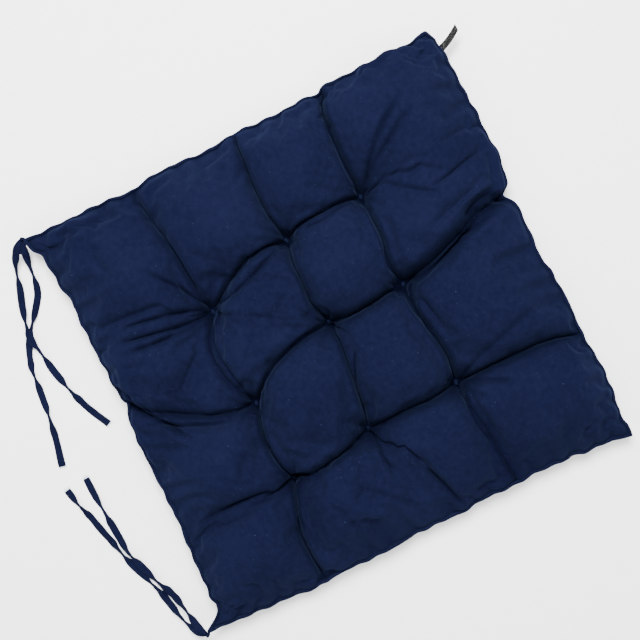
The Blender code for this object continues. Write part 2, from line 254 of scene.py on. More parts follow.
def tape_frames(route, name):
    """Each section of a tape: its middle, its wide axis, its thin axis, half width and thickness."""
    wander = random.Random(name)
    phase = [wander.uniform(0, 2 * math.pi) for _ in range(3)]
    length = route_length(route)
    frames, along = [], 0.0
    for k, place in enumerate(route):
        before, after = route[max(k - 1, 0)], route[min(k + 1, len(route) - 1)]
        tangent = (after - before).normalized()
        if k:
            along += (place - route[k - 1]).length
        side = tangent.cross(Vector((0, 0, 1))).normalized()
        up = side.cross(tangent).normalized()
        lean = 0.16 * math.sin(along * 95 + phase[0]) + 0.08 * math.sin(along * 230 + phase[1])
        turn = tape_turn(along, TIE_TWISTS[name], length) + lean
        edge_up = math.sin(turn) ** 2
        wide = side * math.cos(turn) + up * math.sin(turn)
        thin = up * math.cos(turn) - side * math.sin(turn)
        half = TAPE_WIDTH / 2 * (1 - (1 - TWIST_WIDTH) * edge_up)
        half *= 1 + 0.05 * math.sin(along * 160 + phase[2])
        start = smooth_step(along / ROOT_REACH)
        half *= ROOT_WIDTH + 0.38 * start
        thick = TAPE_THICKNESS / 2 * (1 + 1.5 * edge_up**2 + 0.25 * (1 - start))
        reach = math.hypot(half * abs(wide.z), thick * abs(thin.z))
        middle = place + Vector((0, 0, reach + FLOOR_GAP - ROUTE_LIFT))
        frames.append((middle, wide, thin, half, thick))
    return frames


def tape_section(frame_at, count):
    """A folded tape's section: a flat oval, its two layers parting a little in the middle."""
    middle, wide, thin, half, thick = frame_at
    ring = []
    for k in range(count):
        angle = 2 * math.pi * k / count
        across, through = math.cos(angle), math.sin(angle)
        flat = abs(across) ** 0.75 * (1 if across >= 0 else -1)
        dent = 1 - 0.28 * math.exp(-((flat / 0.30) ** 2)) * (1 if through > 0 else 0.4)
        ring.append(middle + wide * (half * flat) + thin * (thick * through * dent))
    return ring


def add_tie(name, finish, pale):
    points = tie_points(name)
    route = smooth_route(points, TIE_STEP)
    frames = tape_frames(route, name)
    vertices, faces = [], []
    for frame_at in frames:
        vertices += tape_section(frame_at, TIE_SECTION)
    for k in range(len(frames) - 1):
        for m in range(TIE_SECTION):
            after = (m + 1) % TIE_SECTION
            a, b = k * TIE_SECTION, (k + 1) * TIE_SECTION
            faces.append((a + m, a + after, b + after, b + m))
    last = (len(frames) - 1) * TIE_SECTION
    faces.append(tuple(reversed(range(TIE_SECTION))))
    faces.append(tuple(range(last, last + TIE_SECTION)))
    tape = new_mesh_object(name + "_tape", vertices, faces, finish)
    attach(tape, tie_body(name))
    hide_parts(name)
    path = smooth_route(points, PATH_STEP)
    add_frayed_end(name, frames, pale)


# ---- the materials ----
NAVY = (0.0036, 0.0045, 0.0160)
NAVY_DEEP = (0.0024, 0.0030, 0.0110)
NAVY_SHADE = (0.0006, 0.0009, 0.0036)
# the painted shade: how far each place of the pad's cloth is darkened towards NAVY_SHADE. It is
# paint that stands in for shadow, and it stays where it is however the light falls.
SHADE_ATTRIBUTE = "painted_shade"
NAVY_BRUSHED = (0.0048, 0.0060, 0.0200)


def object_point(tree, scale):
    """Texture coordinates in metres, in each object's own frame, times a scale."""
    place = node(tree, "ShaderNodeTexCoord")
    mapping = node(tree, "ShaderNodeMapping")
    mapping.inputs["Scale"].default_value = (scale, scale, scale)
    link(tree, place.outputs["Object"], mapping.inputs["Vector"])
    return mapping.outputs["Vector"]


def noise(tree, vector, scale, detail=2.0, roughness=0.5):
    made = node(tree, "ShaderNodeTexNoise")
    made.inputs["Scale"].default_value = scale
    made.inputs["Detail"].default_value = detail
    made.inputs["Roughness"].default_value = roughness
    link(tree, vector, made.inputs["Vector"])
    return made.outputs["Fac"]


def ramp(tree, source, low, high, low_value=0.0, high_value=1.0):
    made = node(tree, "ShaderNodeMapRange")
    made.clamp = True
    made.inputs["From Min"].default_value = low
    made.inputs["From Max"].default_value = high
    made.inputs["To Min"].default_value = low_value
    made.inputs["To Max"].default_value = high_value
    link(tree, source, made.inputs["Value"])
    return made.outputs["Result"]


def mix_colour(tree, factor, first, second):
    made = node(tree, "ShaderNodeMix")
    made.data_type = "RGBA"
    link(tree, factor, made.inputs["Factor"])
    for socket, value in ((made.inputs[6], first), (made.inputs[7], second)):
        if isinstance(value, tuple):
            socket.default_value = (*value, 1.0)
        else:
            link(tree, value, socket)
    return made.outputs[2]


def combine(tree, operation, first, second):
    made = node(tree, "ShaderNodeMath", operation=operation)
    for socket, value in zip(made.inputs, (first, second)):
        if isinstance(value, (int, float)):
            socket.default_value = value
        else:
            link(tree, value, socket)
    return made.outputs["Value"]


def weighted_sum(tree, *terms):
    """The sum of some values, each times its own weight."""
    total = None
    for value, weight in terms:
        term = combine(tree, "MULTIPLY", value, weight)
        total = term if total is None else combine(tree, "ADD", total, term)
    return total


def bump(tree, shader, height, distance, strength=1.0, normal=None):
    made = node(tree, "ShaderNodeBump")
    made.inputs["Strength"].default_value = strength
    made.inputs["Distance"].default_value = distance
    link(tree, height, made.inputs["Height"])
    if normal is not None:
        link(tree, normal, made.inputs["Normal"])
    link(tree, made.outputs["Normal"], shader.inputs["Normal"])
    return made.outputs["Normal"]


def threads(tree, vector, axis, pitch):
    """One set of a weave's threads, as a wave across the given axis."""
    made = node(tree, "ShaderNodeTexWave")
    made.wave_type = "BANDS"
    made.bands_direction = axis
    made.wave_profile = "SIN"
    # Blender's band waves repeat every pi / 10 of scaled length
    made.inputs["Scale"].default_value = math.pi / 10 / pitch
    made.inputs["Distortion"].default_value = 0.6
    made.inputs["Detail"].default_value = 1.0
    made.inputs["Detail Scale"].default_value = 0.4
    link(tree, vector, made.inputs["Vector"])
    return made.outputs["Fac"]


def cloth_material(name, base, deep, brushed, pitch=0.00055, sheen=0.035):
    """Fine brushed polyester: a plain weave under a short nap, with faint lint and, on the pad,
    the painted shade."""
    made, tree, shader = new_material(
        name,
        0.86,
        Sheen_Weight=sheen,
        Sheen_Roughness=0.5,
        Specular_IOR_Level=0.1,
        IOR=1.06,
    )
    shader.inputs["Sheen Tint"].default_value = (0.25, 0.36, 0.80, 1.0)
    place = object_point(tree, 1.0)
    broad = noise(tree, place, 16.0, 3.0, 0.55)
    nap = noise(tree, place, 210.0, 4.0, 0.65)
    fine = noise(tree, place, 1500.0, 2.0, 0.6)
    warp = threads(tree, place, "X", pitch)
    weft = threads(tree, place, "Y", pitch)
    weave = combine(tree, "MULTIPLY", warp, weft)
    shade = weighted_sum(tree, (broad, 0.45), (nap, 0.55))
    colour = mix_colour(tree, ramp(tree, shade, 0.36, 0.66), deep, brushed)
    colour = mix_colour(tree, ramp(tree, fine, 0.35, 0.75, 0.0, 0.6), colour, base)
    colour = mix_colour(tree, ramp(tree, weave, 0.0, 0.30, 0.22, 0.0), colour, deep)
    lint = noise(tree, place, 800.0, 0.0, 0.5)
    painted = node(tree, "ShaderNodeAttribute")
    painted.attribute_name = SHADE_ATTRIBUTE
    colour = mix_colour(tree, painted.outputs["Fac"], colour, NAVY_SHADE)
    specks = ramp(tree, lint, 0.85, 0.875, 0.0, 0.22)
    colour = mix_colour(tree, specks, colour, (0.07, 0.10, 0.18))
    link(tree, colour, shader.inputs["Base Color"])
    rough = ramp(tree, nap, 0.3, 0.7, 0.78, 0.94)
    link(tree, rough, shader.inputs["Roughness"])
    surface = weighted_sum(tree, (weave, 0.6), (fine, 0.9), (nap, 1.4))
    bump(tree, shader, surface, 0.00016, 0.55)
    return made


def thread_material(name, colour, pale, pitch=0.0005, sheen=0.3):
    """Sewing thread: two plies that wind round it."""
    made, tree, shader = new_material(name, 0.8, Sheen_Weight=sheen, Specular_IOR_Level=0.1, IOR=1.1)
    place = object_point(tree, 1.0)
    plies = node(tree, "ShaderNodeTexWave")
    plies.wave_type = "BANDS"
    plies.bands_direction = "DIAGONAL"
    plies.inputs["Scale"].default_value = math.pi / 10 / pitch
    plies.inputs["Distortion"].default_value = 1.5
    link(tree, place, plies.inputs["Vector"])
    fuzz = noise(tree, place, 900.0, 2.0)
    tone = weighted_sum(tree, (plies.outputs["Fac"], 0.6), (fuzz, 0.5))
    link(tree, mix_colour(tree, ramp(tree, tone, 0.2, 0.9), colour, pale), shader.inputs["Base Color"])
    bump(tree, shader, tone, 0.00012, 0.7)
    return made


def label_material():
    """A woven tape, black and grey yarns in a fine salt and pepper."""
    made, tree, shader = new_material("label_weave", 0.85, Specular_IOR_Level=0.1, IOR=1.1)
    place = object_point(tree, 1.0)
    yarns = node(tree, "ShaderNodeTexVoronoi")
    yarns.inputs["Scale"].default_value = 1500.0
    link(tree, place, yarns.inputs["Vector"])
    tone = noise(tree, place, 950.0, 2.0, 0.7)
    colour = mix_colour(tree, ramp(tree, tone, 0.50, 0.62), (0.003, 0.003, 0.003), (0.055, 0.055, 0.055))
    link(tree, colour, shader.inputs["Base Color"])
    warp = threads(tree, place, "X", 0.0005)
    height = combine(tree, "ADD", combine(tree, "MULTIPLY", warp, 0.5), yarns.outputs["Distance"])
    bump(tree, shader, height, 0.0002, 0.6)
    return made


def floor_material():
    """A plain, very pale sheet of paper."""
    made, tree, shader = new_material("pale_paper", 0.9, Specular_IOR_Level=0.1)
    grain = noise(tree, object_point(tree, 1.0), 60.0, 3.0)
    colour = mix_colour(tree, ramp(tree, grain, 0.3, 0.7), (0.93, 0.93, 0.93), (0.95, 0.95, 0.95))
    link(tree, colour, shader.inputs["Base Color"])
    return made


# ---- the floor and the lights ----
FLOOR_HALF = 3.0


def add_plane(name, half, height):
    mesh = bpy.data.meshes.new(name)
    corners = ((-1, -1), (1, -1), (1, 1), (-1, 1))
    mesh.from_pydata([(x * half, y * half, height) for x, y in corners], [], [(0, 1, 2, 3)])
    item = bpy.data.objects.new(name, mesh)
    scene.collection.objects.link(item)
    return item


def add_floor():
    item = add_plane("floor", FLOOR_HALF, 0.0)
    item.data.materials.append(floor_material())


def add_light(name, place, target, size, power, colour=(1.0, 1.0, 1.0)):
    data = bpy.data.lights.new(name, "AREA")
    data.shape = "DISK"
    data.size = size
    data.energy = power
    data.color = colour
    item = bpy.data.objects.new(name, data)
    scene.collection.objects.link(item)
    item.location = place
    away = Vector(place) - Vector(target)
    item.rotation_euler = away.to_track_quat("Z", "Y").to_euler()


def add_lights():
    world = bpy.data.worlds.new("studio")
    world.use_nodes = True
    background = world.node_tree.nodes["Background"]
    background.inputs["Color"].default_value = (0.97, 0.98, 1.0, 1.0)
    background.inputs["Strength"].default_value = 1.30
    scene.world = world
    middle = (0.0, 0.0, 0.02)
    add_light("key", (0.55, -0.15, 1.25), middle, 0.7, 68.0)
    add_light("fill", (-0.9, -0.5, 1.1), middle, 1.2, 9.0)
    add_light("back", (-0.2, 1.1, 1.0), middle, 1.0, 8.0)


# ---- the pad: its outline, its tufts and the creases between them ----
HALF = 0.200
REAR_LEFT_DRIFT = (0.014, 0.014)
SEAM_HEIGHT = 0.018
SEAM_INSET = 0.0006  # the pillows stand this far out over the seam
PUCKER = 0.0006  # the seam's small, even waves
PUCKER_PITCH = 0.0195
SEAM_WAVE = 0.0016  # how far the seam rises and falls
COLUMNS = (-2, -1, 0, 1, 2)
TUFTS = [(column, row) for column in (-1, 0, 1) for row in (-1, 0, 1)]

# How far each side of the outline leaves a straight line, in millimetres and outward, at these
# shares of its length, from the left or the front corner on. Most of these values are copied from
# what a script printed when it traced the outline in the photo, and that is a fault.
SIDES = {
    "right": (
        (0.0, 0.0), (0.05, -2.3), (0.10, -0.7), (0.20, -1.2), (0.25, -0.1), (0.275, -3.8),
        (0.31, -2.5), (0.375, -3.6), (0.45, -1.5), (0.50, -2.0), (0.55, -4.2), (0.60, -2.1),
        (0.675, -0.6), (0.75, -4.7), (0.80, -1.6), (0.90, -1.0), (1.0, 0.0),
    ),
    "left": (
        (0.0, 0.0), (0.05, -4.0), (0.10, -3.5), (0.125, -6.4), (0.15, -5.0), (0.20, -6.2),
        (0.30, -3.8), (0.34, -5.0), (0.38, -1.5), (0.50, -1.5), (0.55, 0.5), (0.60, 1.9),
        (0.65, 1.5), (0.70, 2.0), (0.75, 5.3), (0.80, 3.0), (0.90, 1.8), (1.0, 0.0),
    ),
    "front": (
        (0.0, 0.0), (0.025, 0.5), (0.05, -0.6), (0.10, 2.2), (0.15, 4.2), (0.20, 3.3),
        (0.25, 1.8), (0.30, 3.0), (0.35, 3.9), (0.40, 2.9), (0.45, 0.0), (0.50, 2.1),
        (0.56, 2.5), (0.58, 1.4), (0.592, -1.5), (0.602, -6.0), (0.612, -1.0), (0.622, 4.2),
        (0.65, 5.2), (0.675, 8.8),
        (0.75, 7.1), (0.80, 8.2), (0.85, 7.2), (0.90, 7.5), (0.95, 6.1), (0.975, 4.8), (1.0, 0.0),
    ),
    "rear": (
        (0.0, 0.5), (0.015, -8.0), (0.027, -13.5), (0.05, -17.0), (0.075, -13.8), (0.10, -15.5),
        (0.20, -15.5), (0.26, -17.0),
        (0.40, -15.0), (0.50, -15.0), (0.54, -17.5), (0.555, -20.5), (0.575, -17.5), (0.62, -16.0),
        (0.70, -14.0), (0.80, -13.4), (0.83, -14.7), (0.86, -10.7), (0.93, -8.9), (0.957, -7.0),
        (0.972, -1.5), (1.0, 0.5),
    ),
}

# Where the creases reach the outline, as shares of the side.
ENDS = {
    "right": {-1: 0.260, 0: 0.480, 1: 0.740},
    "left": {-1: 0.262, 0: 0.400, 1: 0.724},
    "front": {-1: 0.252, 0: 0.600, 1: 0.765},
    "rear": {-1: 0.205, 0: 0.555, 1: 0.690},
}

# Each crease from knot to knot: how far it bows to the left of its way, in millimetres, at each
# quarter, then its depth and its half width in millimetres.
CREASES = {
    ((1, -1), (2, -1)): ((3.5, 5.0, 5.5), 4.2, 1.7),
    ((1, 0), (2, 0)): ((3.5, 4.0, 2.0), 2.8, 1.5),
    ((1, 1), (2, 1)): ((-2.0, -3.0, -1.5), 2.2, 1.8),
    ((1, 0), (1, -1)): ((4.0, 3.5, 3.5), 3.6, 1.5),
    ((1, 1), (1, 0)): ((6.0, 9.5, 8.0), 3.2, 1.5),
    ((1, 0), (0, 0)): ((-3.5, -4.0, -5.0), 4.0, 1.6),
    ((1, -1), (0, -1)): ((0.5, 0.0, -3.5), 3.8, 1.5),
    ((0, 0), (0, -1)): ((-2.5, -2.5, -1.0), 5.4, 2.2),
    ((0, -1), (0, -2)): ((-1.0, 1.0, 5.0), 8.4, 3.4),
    ((0, -1), (-1, -1)): ((-2.5, 2.0, 3.5), 4.2, 1.6),
    ((-1, -1), (-1, -2)): ((3.5, 5.5, 5.0), 4.4, 1.7),
    ((1, 1), (0, 1)): ((-13.0, -14.0, -9.0), 3.0, 1.5),
    ((0, 1), (0, 2)): ((8.0, 8.5, 5.5), 3.6, 1.8),
    ((0, 1), (0, 0)): ((8.0, 9.5, 7.0), 4.2, 1.5),
    ((0, 0), (-1, 0)): ((3.5, 3.0, 3.0), 3.2, 1.5),
    ((0, 1), (-1, 1)): ((-3.5, -6.5, -4.5), 3.4, 1.6),
    ((-1, 1), (-1, 0)): ((-5.0, -5.0, -3.5), 3.8, 1.8),
    ((-1, 0), (-1, -1)): ((1.0, 0.0, -1.0), 4.4, 1.8),
    ((-1, 1), (-1, 2)): ((-1.0, -4.0, -6.0), 1.8, 1.8),
    ((-1, 1), (-2, 1)): ((-4.0, -7.0, -4.0), 3.6, 1.7),
    ((-1, 0), (-2, 0)): ((2.0, 1.0, -1.0), 2.0, 2.0),
    ((-1, -1), (-2, -1)): ((-1.0, 1.0, -0.5), 3.6, 1.6),
    ((1, -1), (1, -2)): ((0.0, 0.0, 0.0), 0.5, 3.0),
    ((1, 1), (1, 2)): ((-3.0, -3.0, -2.0), 1.2, 2.0),
}

# Further folds of the top: from a knot plus a step, to a knot plus a step, in millimetres, the
# bow to the left at each quarter, depth and half width.
FOLDS = (
    ((1, 1), (3, 2), (1, 1), (23, 84), (-3.5, -3.0, -2.0), 2.4, 1.7),
    ((1, 1), (0, 3), (1, 1), (12, 89), (2.5, 2.0, 1.0), 2.6, 1.8),
    ((1, 1), (-2, 3), (1, 1), (1, 91), (3.0, 3.0, 2.0), 1.9, 2.0),
    ((1, 1), (4, 0), (1, 1), (58, 33), (-1.0, -2.0, -1.0), 2.2, 1.6),
    ((1, 1), (-3, -4), (0, 0), (8, 10), (0.0, 0.0, -1.0), 1.3, 1.8),
    ((1, 1), (-2, -3), (1, 1), (-26, -24), (1.0, 1.0, 0.0), 1.4, 2.0),
    ((1, 1), (-4, 0), (0, 1), (4, 1), (-8.5, -7.0, -3.5), 2.2, 1.5),
    ((1, 1), (2, -4), (1, 0), (-4, 4), (-3.5, -3.0, -1.0), 2.6, 2.0),
    ((1, 0), (0, -18), (1, -1), (-2, 8), (-1.5, -1.5, 0.0), 1.6, 1.5),
    ((1, -1), (3, -4), (1, -1), (64, -74), (4.0, 5.5, 3.0), 2.2, 2.2),
    ((1, -1), (2, -5), (1, -1), (48, -78), (4.5, 3.5, 2.5), 1.7, 2.2),
    ((1, -1), (-2, -6), (1, -1), (6, -32), (0.0, 0.0, 0.0), 1.2, 2.4),
    ((1, -1), (60, -4), (2, -1), (-4, 6), (1.5, 1.5, 1.0), 2.6, 1.5),
    ((0, -1), (2, -8), (-1, -1), (36, 2), (-5.0, -4.0, -2.5), 2.0, 1.4),
    ((0, -1), (28, -70), (0, -2), (7, 1), (3.0, 4.5, 3.0), 3.6, 2.2),
    ((0, -1), (16, -58), (0, -2), (-8, 12), (-2.0, -3.0, -2.0), 2.2, 2.2),
    ((-1, -1), (4, -4), (-1, -1), (36, -100), (2.0, 2.0, 1.0), 1.3, 2.4),
    ((-1, -1), (-1, -5), (-1, -1), (-20, -48), (1.0, 1.5, 1.0), 1.8, 2.2),
    ((0, 0), (-30, -10), (-1, 0), (4, -1), (-2.5, -4.0, -2.5), 2.4, 1.4),
    ((0, 0), (2, 6), (0, 0), (30, 22), (0.0, 1.0, 0.0), 1.0, 2.4),
    ((0, 2), (0, -1), (0, 1), (-3, 58), (0.0, 0.5, 0.0), 3.4, 2.0),
    ((0, 1), (-8, -2), (-1, 1), (18, 5), (-3.0, -4.0, -2.0), 1.3, 1.6),
    ((-1, 0), (-4, -1), (-1, 0), (-42, -2), (0.0, -1.0, 0.0), 2.6, 1.6),
    ((-1, 0), (-50, -30), (-2, 0), (3, -8), (1.0, 1.0, 0.0), 2.4, 1.8),
    ((-1, 0), (-38, 30), (-2, 0), (22, 26), (1.0, 1.0, 0.0), 1.0, 2.6),
    ((-1, 1), (-4, 1), (-1, 1), (-52, 10), (-1.0, -2.0, -1.0), 1.8, 1.5),
    ((-1, 1), (4, 18), (-1, 2), (10, -6), (-2.0, -3.0, -2.0), 1.4, 2.2),
    ((-1, 1), (-30, -22), (-1, 1), (-70, -36), (1.0, 1.0, 0.0), 1.0, 2.6),
    ((-1, -1), (-8, 2), (-2, -1), (34, 5), (-1.0, -2.0, -1.0), 1.6, 1.5),
)

# The creases that fade into wrinkles away from their tuft, and how much of each has gone.
FADED = {
    ((1, -1), (1, -2)): 0.92,
    ((1, 1), (1, 2)): 0.62,
    ((-1, 1), (-1, 2)): 0.45,
    ((-1, 0), (-2, 0)): 0.62,
}

TUFT_TOP = 0.0150  # the top panel where a tuft holds it
TUFT_UNDER = 0.0065
START_CROWN = 0.036  # the pillows before they are blown up, above the tufts
START_VALLEY = 0.020
UNDER_SHARE = 0.28  # the underside's share of that height

# ---- the cloth simulation ----
EDGE_STEPS = 20  # grid steps in a cell at the edge
INNER_STEPS = 16
GROWTH_PILLOW = 0.150  # spare cloth in the middle of a pillow
GROWTH_CREASE = 0.045  # and along the creases
PRESSURE = 3.2
SIM_FRAMES = 30
HELD_APART = 0.0022  # between the three vertices that hold a panel at a tuft


def side_knot(side, index):
    """Where the crease of this column or row meets a side, or the side's own corner."""
    share = {-2: 0.0, 2: 1.0}.get(index)
    return ENDS[side][index] if share is None else share


def pad_corner(side_x, side_y):
    place = np.array([side_x * HALF, side_y * HALF])
    if (side_x, side_y) == (-1, 1):
        place = place + np.array(REAR_LEFT_DRIFT)
    return place


SIDE_FRAME = {  # the first corner, the second corner and the way out
    "right": ((1, -1), (1, 1), (1, 0)),
    "left": ((-1, -1), (-1, 1), (-1, 0)),
    "front": ((-1, -1), (1, -1), (0, -1)),
    "rear": ((-1, 1), (1, 1), (0, 1)),
}


def outline_point(side, share):
    """A place on the sewn outline, a share of the way along a side."""
    first, second, out = SIDE_FRAME[side]
    a, b = pad_corner(*first), pad_corner(*second)
    straight = a + (b - a) * share
    shares, pulls = zip(*SIDES[side])
    pull = float(np.interp(share, shares, pulls)) / 1000
    length = float(np.linalg.norm(b - a))
    from_corner = min(share, 1 - share) * length
    inset = SEAM_INSET * smooth_step(from_corner / 0.02)
    wave = PUCKER * math.sin(2 * math.pi * share * length / PUCKER_PITCH)
    wave *= smooth_step(from_corner / 0.02)
    return straight + np.array(out, float) * (pull - inset + wave)


def knot_place(column, row):
    """A corner of the pad's cells: a tuft, or a place on the outline."""
    if abs(column) == 2:
        side = "right" if column > 0 else "left"
        return outline_point(side, side_knot(side, row))
    if abs(row) == 2:
        side = "rear" if row > 0 else "front"
        return outline_point(side, side_knot(side, column))
    middle = box_centre("tuft_%d" % (5 - 3 * row - column))
    return np.array([middle.x, middle.y])


def bowed(a, b, bows, share):
    """A place on a line from a to b that bows to its left by the three amounts."""
    way = b - a
    left = np.array([-way[1], way[0]]) / np.linalg.norm(way)
    quarters = (0.0, *bows, 0.0)
    at = min(max(share, 0.0), 1.0) * 4
    k = min(int(at), 3)
    t = at - k
    p = [quarters[max(k - 1, 0)], quarters[k], quarters[k + 1], quarters[min(k + 2, 4)]]
    out = p[1] + t * (p[2] - p[0]) / 2
    out += t * t * (2 * p[0] - 5 * p[1] + 4 * p[2] - p[3]) / 2
    out += t**3 * (3 * p[1] - p[0] - 3 * p[2] + p[3]) / 2
    return a + way * share + left * out / 1000


def crease_values(first, second):
    """A crease's bows, depth and width, for the way from the first knot to the second."""
    if (first, second) in CREASES:
        return CREASES[first, second]
    bows, depth, width = CREASES[second, first]
    return tuple(-bow for bow in reversed(bows)), depth, width


def border_place(first, second, share):
    """A place on the border between two cells, which is a crease or a part of the outline."""
    for axis, sides in ((0, ("left", "right")), (1, ("front", "rear"))):
        if first[axis] == second[axis] and abs(first[axis]) == 2:
            side = sides[first[axis] > 0]
            start = side_knot(side, first[1 - axis])
            end = side_knot(side, second[1 - axis])
            return outline_point(side, start + (end - start) * share)
    bows = crease_values(first, second)[0]
    return bowed(knot_place(*first), knot_place(*second), bows, share)


def grid_lines():
    """The simulation's grid lines along one axis, as (cell, share of the cell)."""
    steps = (EDGE_STEPS, INNER_STEPS, INNER_STEPS, EDGE_STEPS)
    lines = [(cell, k / count) for cell, count in enumerate(steps) for k in range(count)]
    return lines + [(3, 1.0)]


def cell_grid(lines):
    """The plan place of every crossing of the grid's lines: each cell is a Coons patch."""
    size = len(lines)
    places = np.zeros((size, size, 2))
    knots = {(c, r): knot_place(c, r) for c in COLUMNS for r in COLUMNS}
    for cell_x in range(4):
        for cell_y in range(4):
            c, r = cell_x - 2, cell_y - 2
            k00, k10 = (c, r), (c + 1, r)
            k01, k11 = (c, r + 1), (c + 1, r + 1)
            across = [(i, s) for i, (cell, s) in enumerate(lines) if cell == cell_x]
            upward = [(j, t) for j, (cell, t) in enumerate(lines) if cell == cell_y]
            if cell_x < 3:
                across.append((across[-1][0] + 1, 1.0))
            if cell_y < 3:
                upward.append((upward[-1][0] + 1, 1.0))
            bottom = {i: border_place(k00, k10, s) for i, s in across}
            top = {i: border_place(k01, k11, s) for i, s in across}
            left = {j: border_place(k00, k01, t) for j, t in upward}
            right = {j: border_place(k10, k11, t) for j, t in upward}
            for i, s in across:
                for j, t in upward:
                    flat = (knots[k00] * (1 - s) + knots[k10] * s) * (1 - t)
                    flat = flat + (knots[k01] * (1 - s) + knots[k11] * s) * t
                    patch = bottom[i] * (1 - t) + top[i] * t + left[j] * (1 - s) + right[j] * s
                    places[i, j] = patch - flat
    return places


def rise(line):
    """Along one axis: how far the pillow has risen, and how far the outline is left behind."""
    cell, share = line
    if 0 < cell < 3:
        return max(math.sin(math.pi * share), 0.0) ** 0.6, 1.0
    inward = share if cell == 0 else 1 - share
    if inward < 0.5:
        up = math.sqrt(1 - (1 - inward / 0.5) ** 2)
        return up, up
    return max(math.sin(math.pi * inward), 0.0) ** 0.6, 1.0


def even_noise(size, reach, rng):
    """A smooth random field with a spread of one."""
    field = np.fft.fft2(rng.normal(size=(size, size)))
    waves = np.fft.fftfreq(size)
    fade = np.exp(-((waves[:, None] ** 2 + waves[None] ** 2) * reach**2 * 20))
    smooth = np.real(np.fft.ifft2(field * fade))
    return smooth / smooth.std()


def risen(lines, along):
    """For every crossing: how far the pillow has risen across this axis, faded creases filled."""
    size = len(lines)
    field = np.repeat(np.array(along)[:, None], size, axis=1)
    across_too = field.T.copy()
    for (tuft, end), gone in FADED.items():
        axis = 0 if tuft[0] == end[0] else 1
        for k, (cell, share) in enumerate(lines):
            if end[1 - axis] < 0 and cell != 0 or end[1 - axis] > 0 and cell != 3:
                continue
            from_tuft = 1 - share if cell == 0 else share
            least = gone * smooth_step(from_tuft / 0.45)
            for other, (near_cell, _) in enumerate(lines):
                if near_cell in (tuft[axis] + 1, tuft[axis] + 2):
                    if axis == 0:
                        field[other, k] = max(field[other, k], least)
                    else:
                        across_too[k, other] = max(across_too[k, other], least)
    return field, across_too


def start_heights(lines):
    """The two panels' heights before the simulation, and how much spare cloth each place has."""
    size = len(lines)
    rng = np.random.default_rng(7)
    lumps = even_noise(size, 4, rng) * 0.0009
    under_lumps = even_noise(size, 4, rng) * 0.0006
    up = np.array([rise(line)[0] for line in lines])
    clear = np.array([rise(line)[1] for line in lines])
    edge = np.minimum(clear[:, None], clear[None])
    up_x, up_y = risen(lines, up)
    ridge = up_x * clear[None] + up_y * clear[:, None] - up_x * up_y
    height = START_VALLEY * ridge + (START_CROWN - START_VALLEY) * up_x * up_y
    top = SEAM_HEIGHT + (TUFT_TOP - SEAM_HEIGHT) * edge + height * 0.7 + lumps * edge
    under = SEAM_HEIGHT + (TUFT_UNDER - SEAM_HEIGHT) * edge - height * UNDER_SHARE
    under = np.maximum(under + under_lumps * edge, 0.0010)
    sine = np.array([max(math.sin(math.pi * share), 0.0) ** 0.5 for _, share in lines])
    spare_x, spare_y = risen(lines, sine)
    return top, under, spare_x * spare_y


def seam_rise(place):
    """The seam isn't level: it rises and falls in long soft waves."""
    x, y = place
    around = math.atan2(y, x)
    return SEAM_WAVE * (0.6 * math.sin(9 * around + 0.7) + 0.4 * math.sin(23 * around + 2.1))


def rim_of(size):
    """Which crossings of a square grid are on its rim."""
    rim = np.ones((size, size), bool)
    rim[1:-1, 1:-1] = False
    return rim


def build_panels(lines):
    """Vertices, faces, the two panels' indices, the held vertices and the spare cloth."""
    places = cell_grid(lines)
    top, under, spare = start_heights(lines)
    size = len(lines)
    rim = rim_of(size)
    top_index = np.arange(size * size).reshape(size, size)
    under_index = top_index.copy()
    inside = np.argwhere(~rim)
    for k, (i, j) in enumerate(inside):
        under_index[i, j] = size * size + k
    vertices = np.zeros((size * size + len(inside), 3))
    vertices[top_index, :2] = places
    vertices[top_index, 2] = top
    for i, j in np.argwhere(rim):
        vertices[top_index[i, j], 2] = SEAM_HEIGHT + seam_rise(places[i, j])
    vertices[under_index[~rim], :2] = places[~rim]
    vertices[under_index[~rim], 2] = under[~rim]
    faces = []
    for i in range(size - 1):
        for j in range(size - 1):
            a, b = top_index[i, j], top_index[i + 1, j]
            c, d = top_index[i + 1, j + 1], top_index[i, j + 1]
            faces.append((a, b, c, d))
            a, b = under_index[i, j], under_index[i, j + 1]
            c, d = under_index[i + 1, j + 1], under_index[i + 1, j]
            faces.append((a, b, c, d))
    held = [int(k) for k in top_index[rim]]
    firsts = [i for i, (cell, share) in enumerate(lines) if share == 0.0 and cell > 0]
    for column, i in zip((-1, 0, 1), firsts):
        for row, j in zip((-1, 0, 1), firsts):
            middle = knot_place(column, row)
            for step in (-1, 0, 1):
                for index, height in ((top_index, TUFT_TOP), (under_index, TUFT_UNDER)):
                    k = index[i + step, j]
                    vertices[k] = (middle[0] + step * HELD_APART, middle[1], height)
                    held.append(int(k))
    return vertices, faces, top_index, under_index, held, spare


def add_blower_floor():
    """The plane that the simulated cloth rests on; it is taken away again."""
    item = add_plane("rest_plane", 0.5, -0.0006)
    item.modifiers.new("collide", "COLLISION")
    item.collision.thickness_outer = 0.001
    item.collision.cloth_friction = 5
    return item


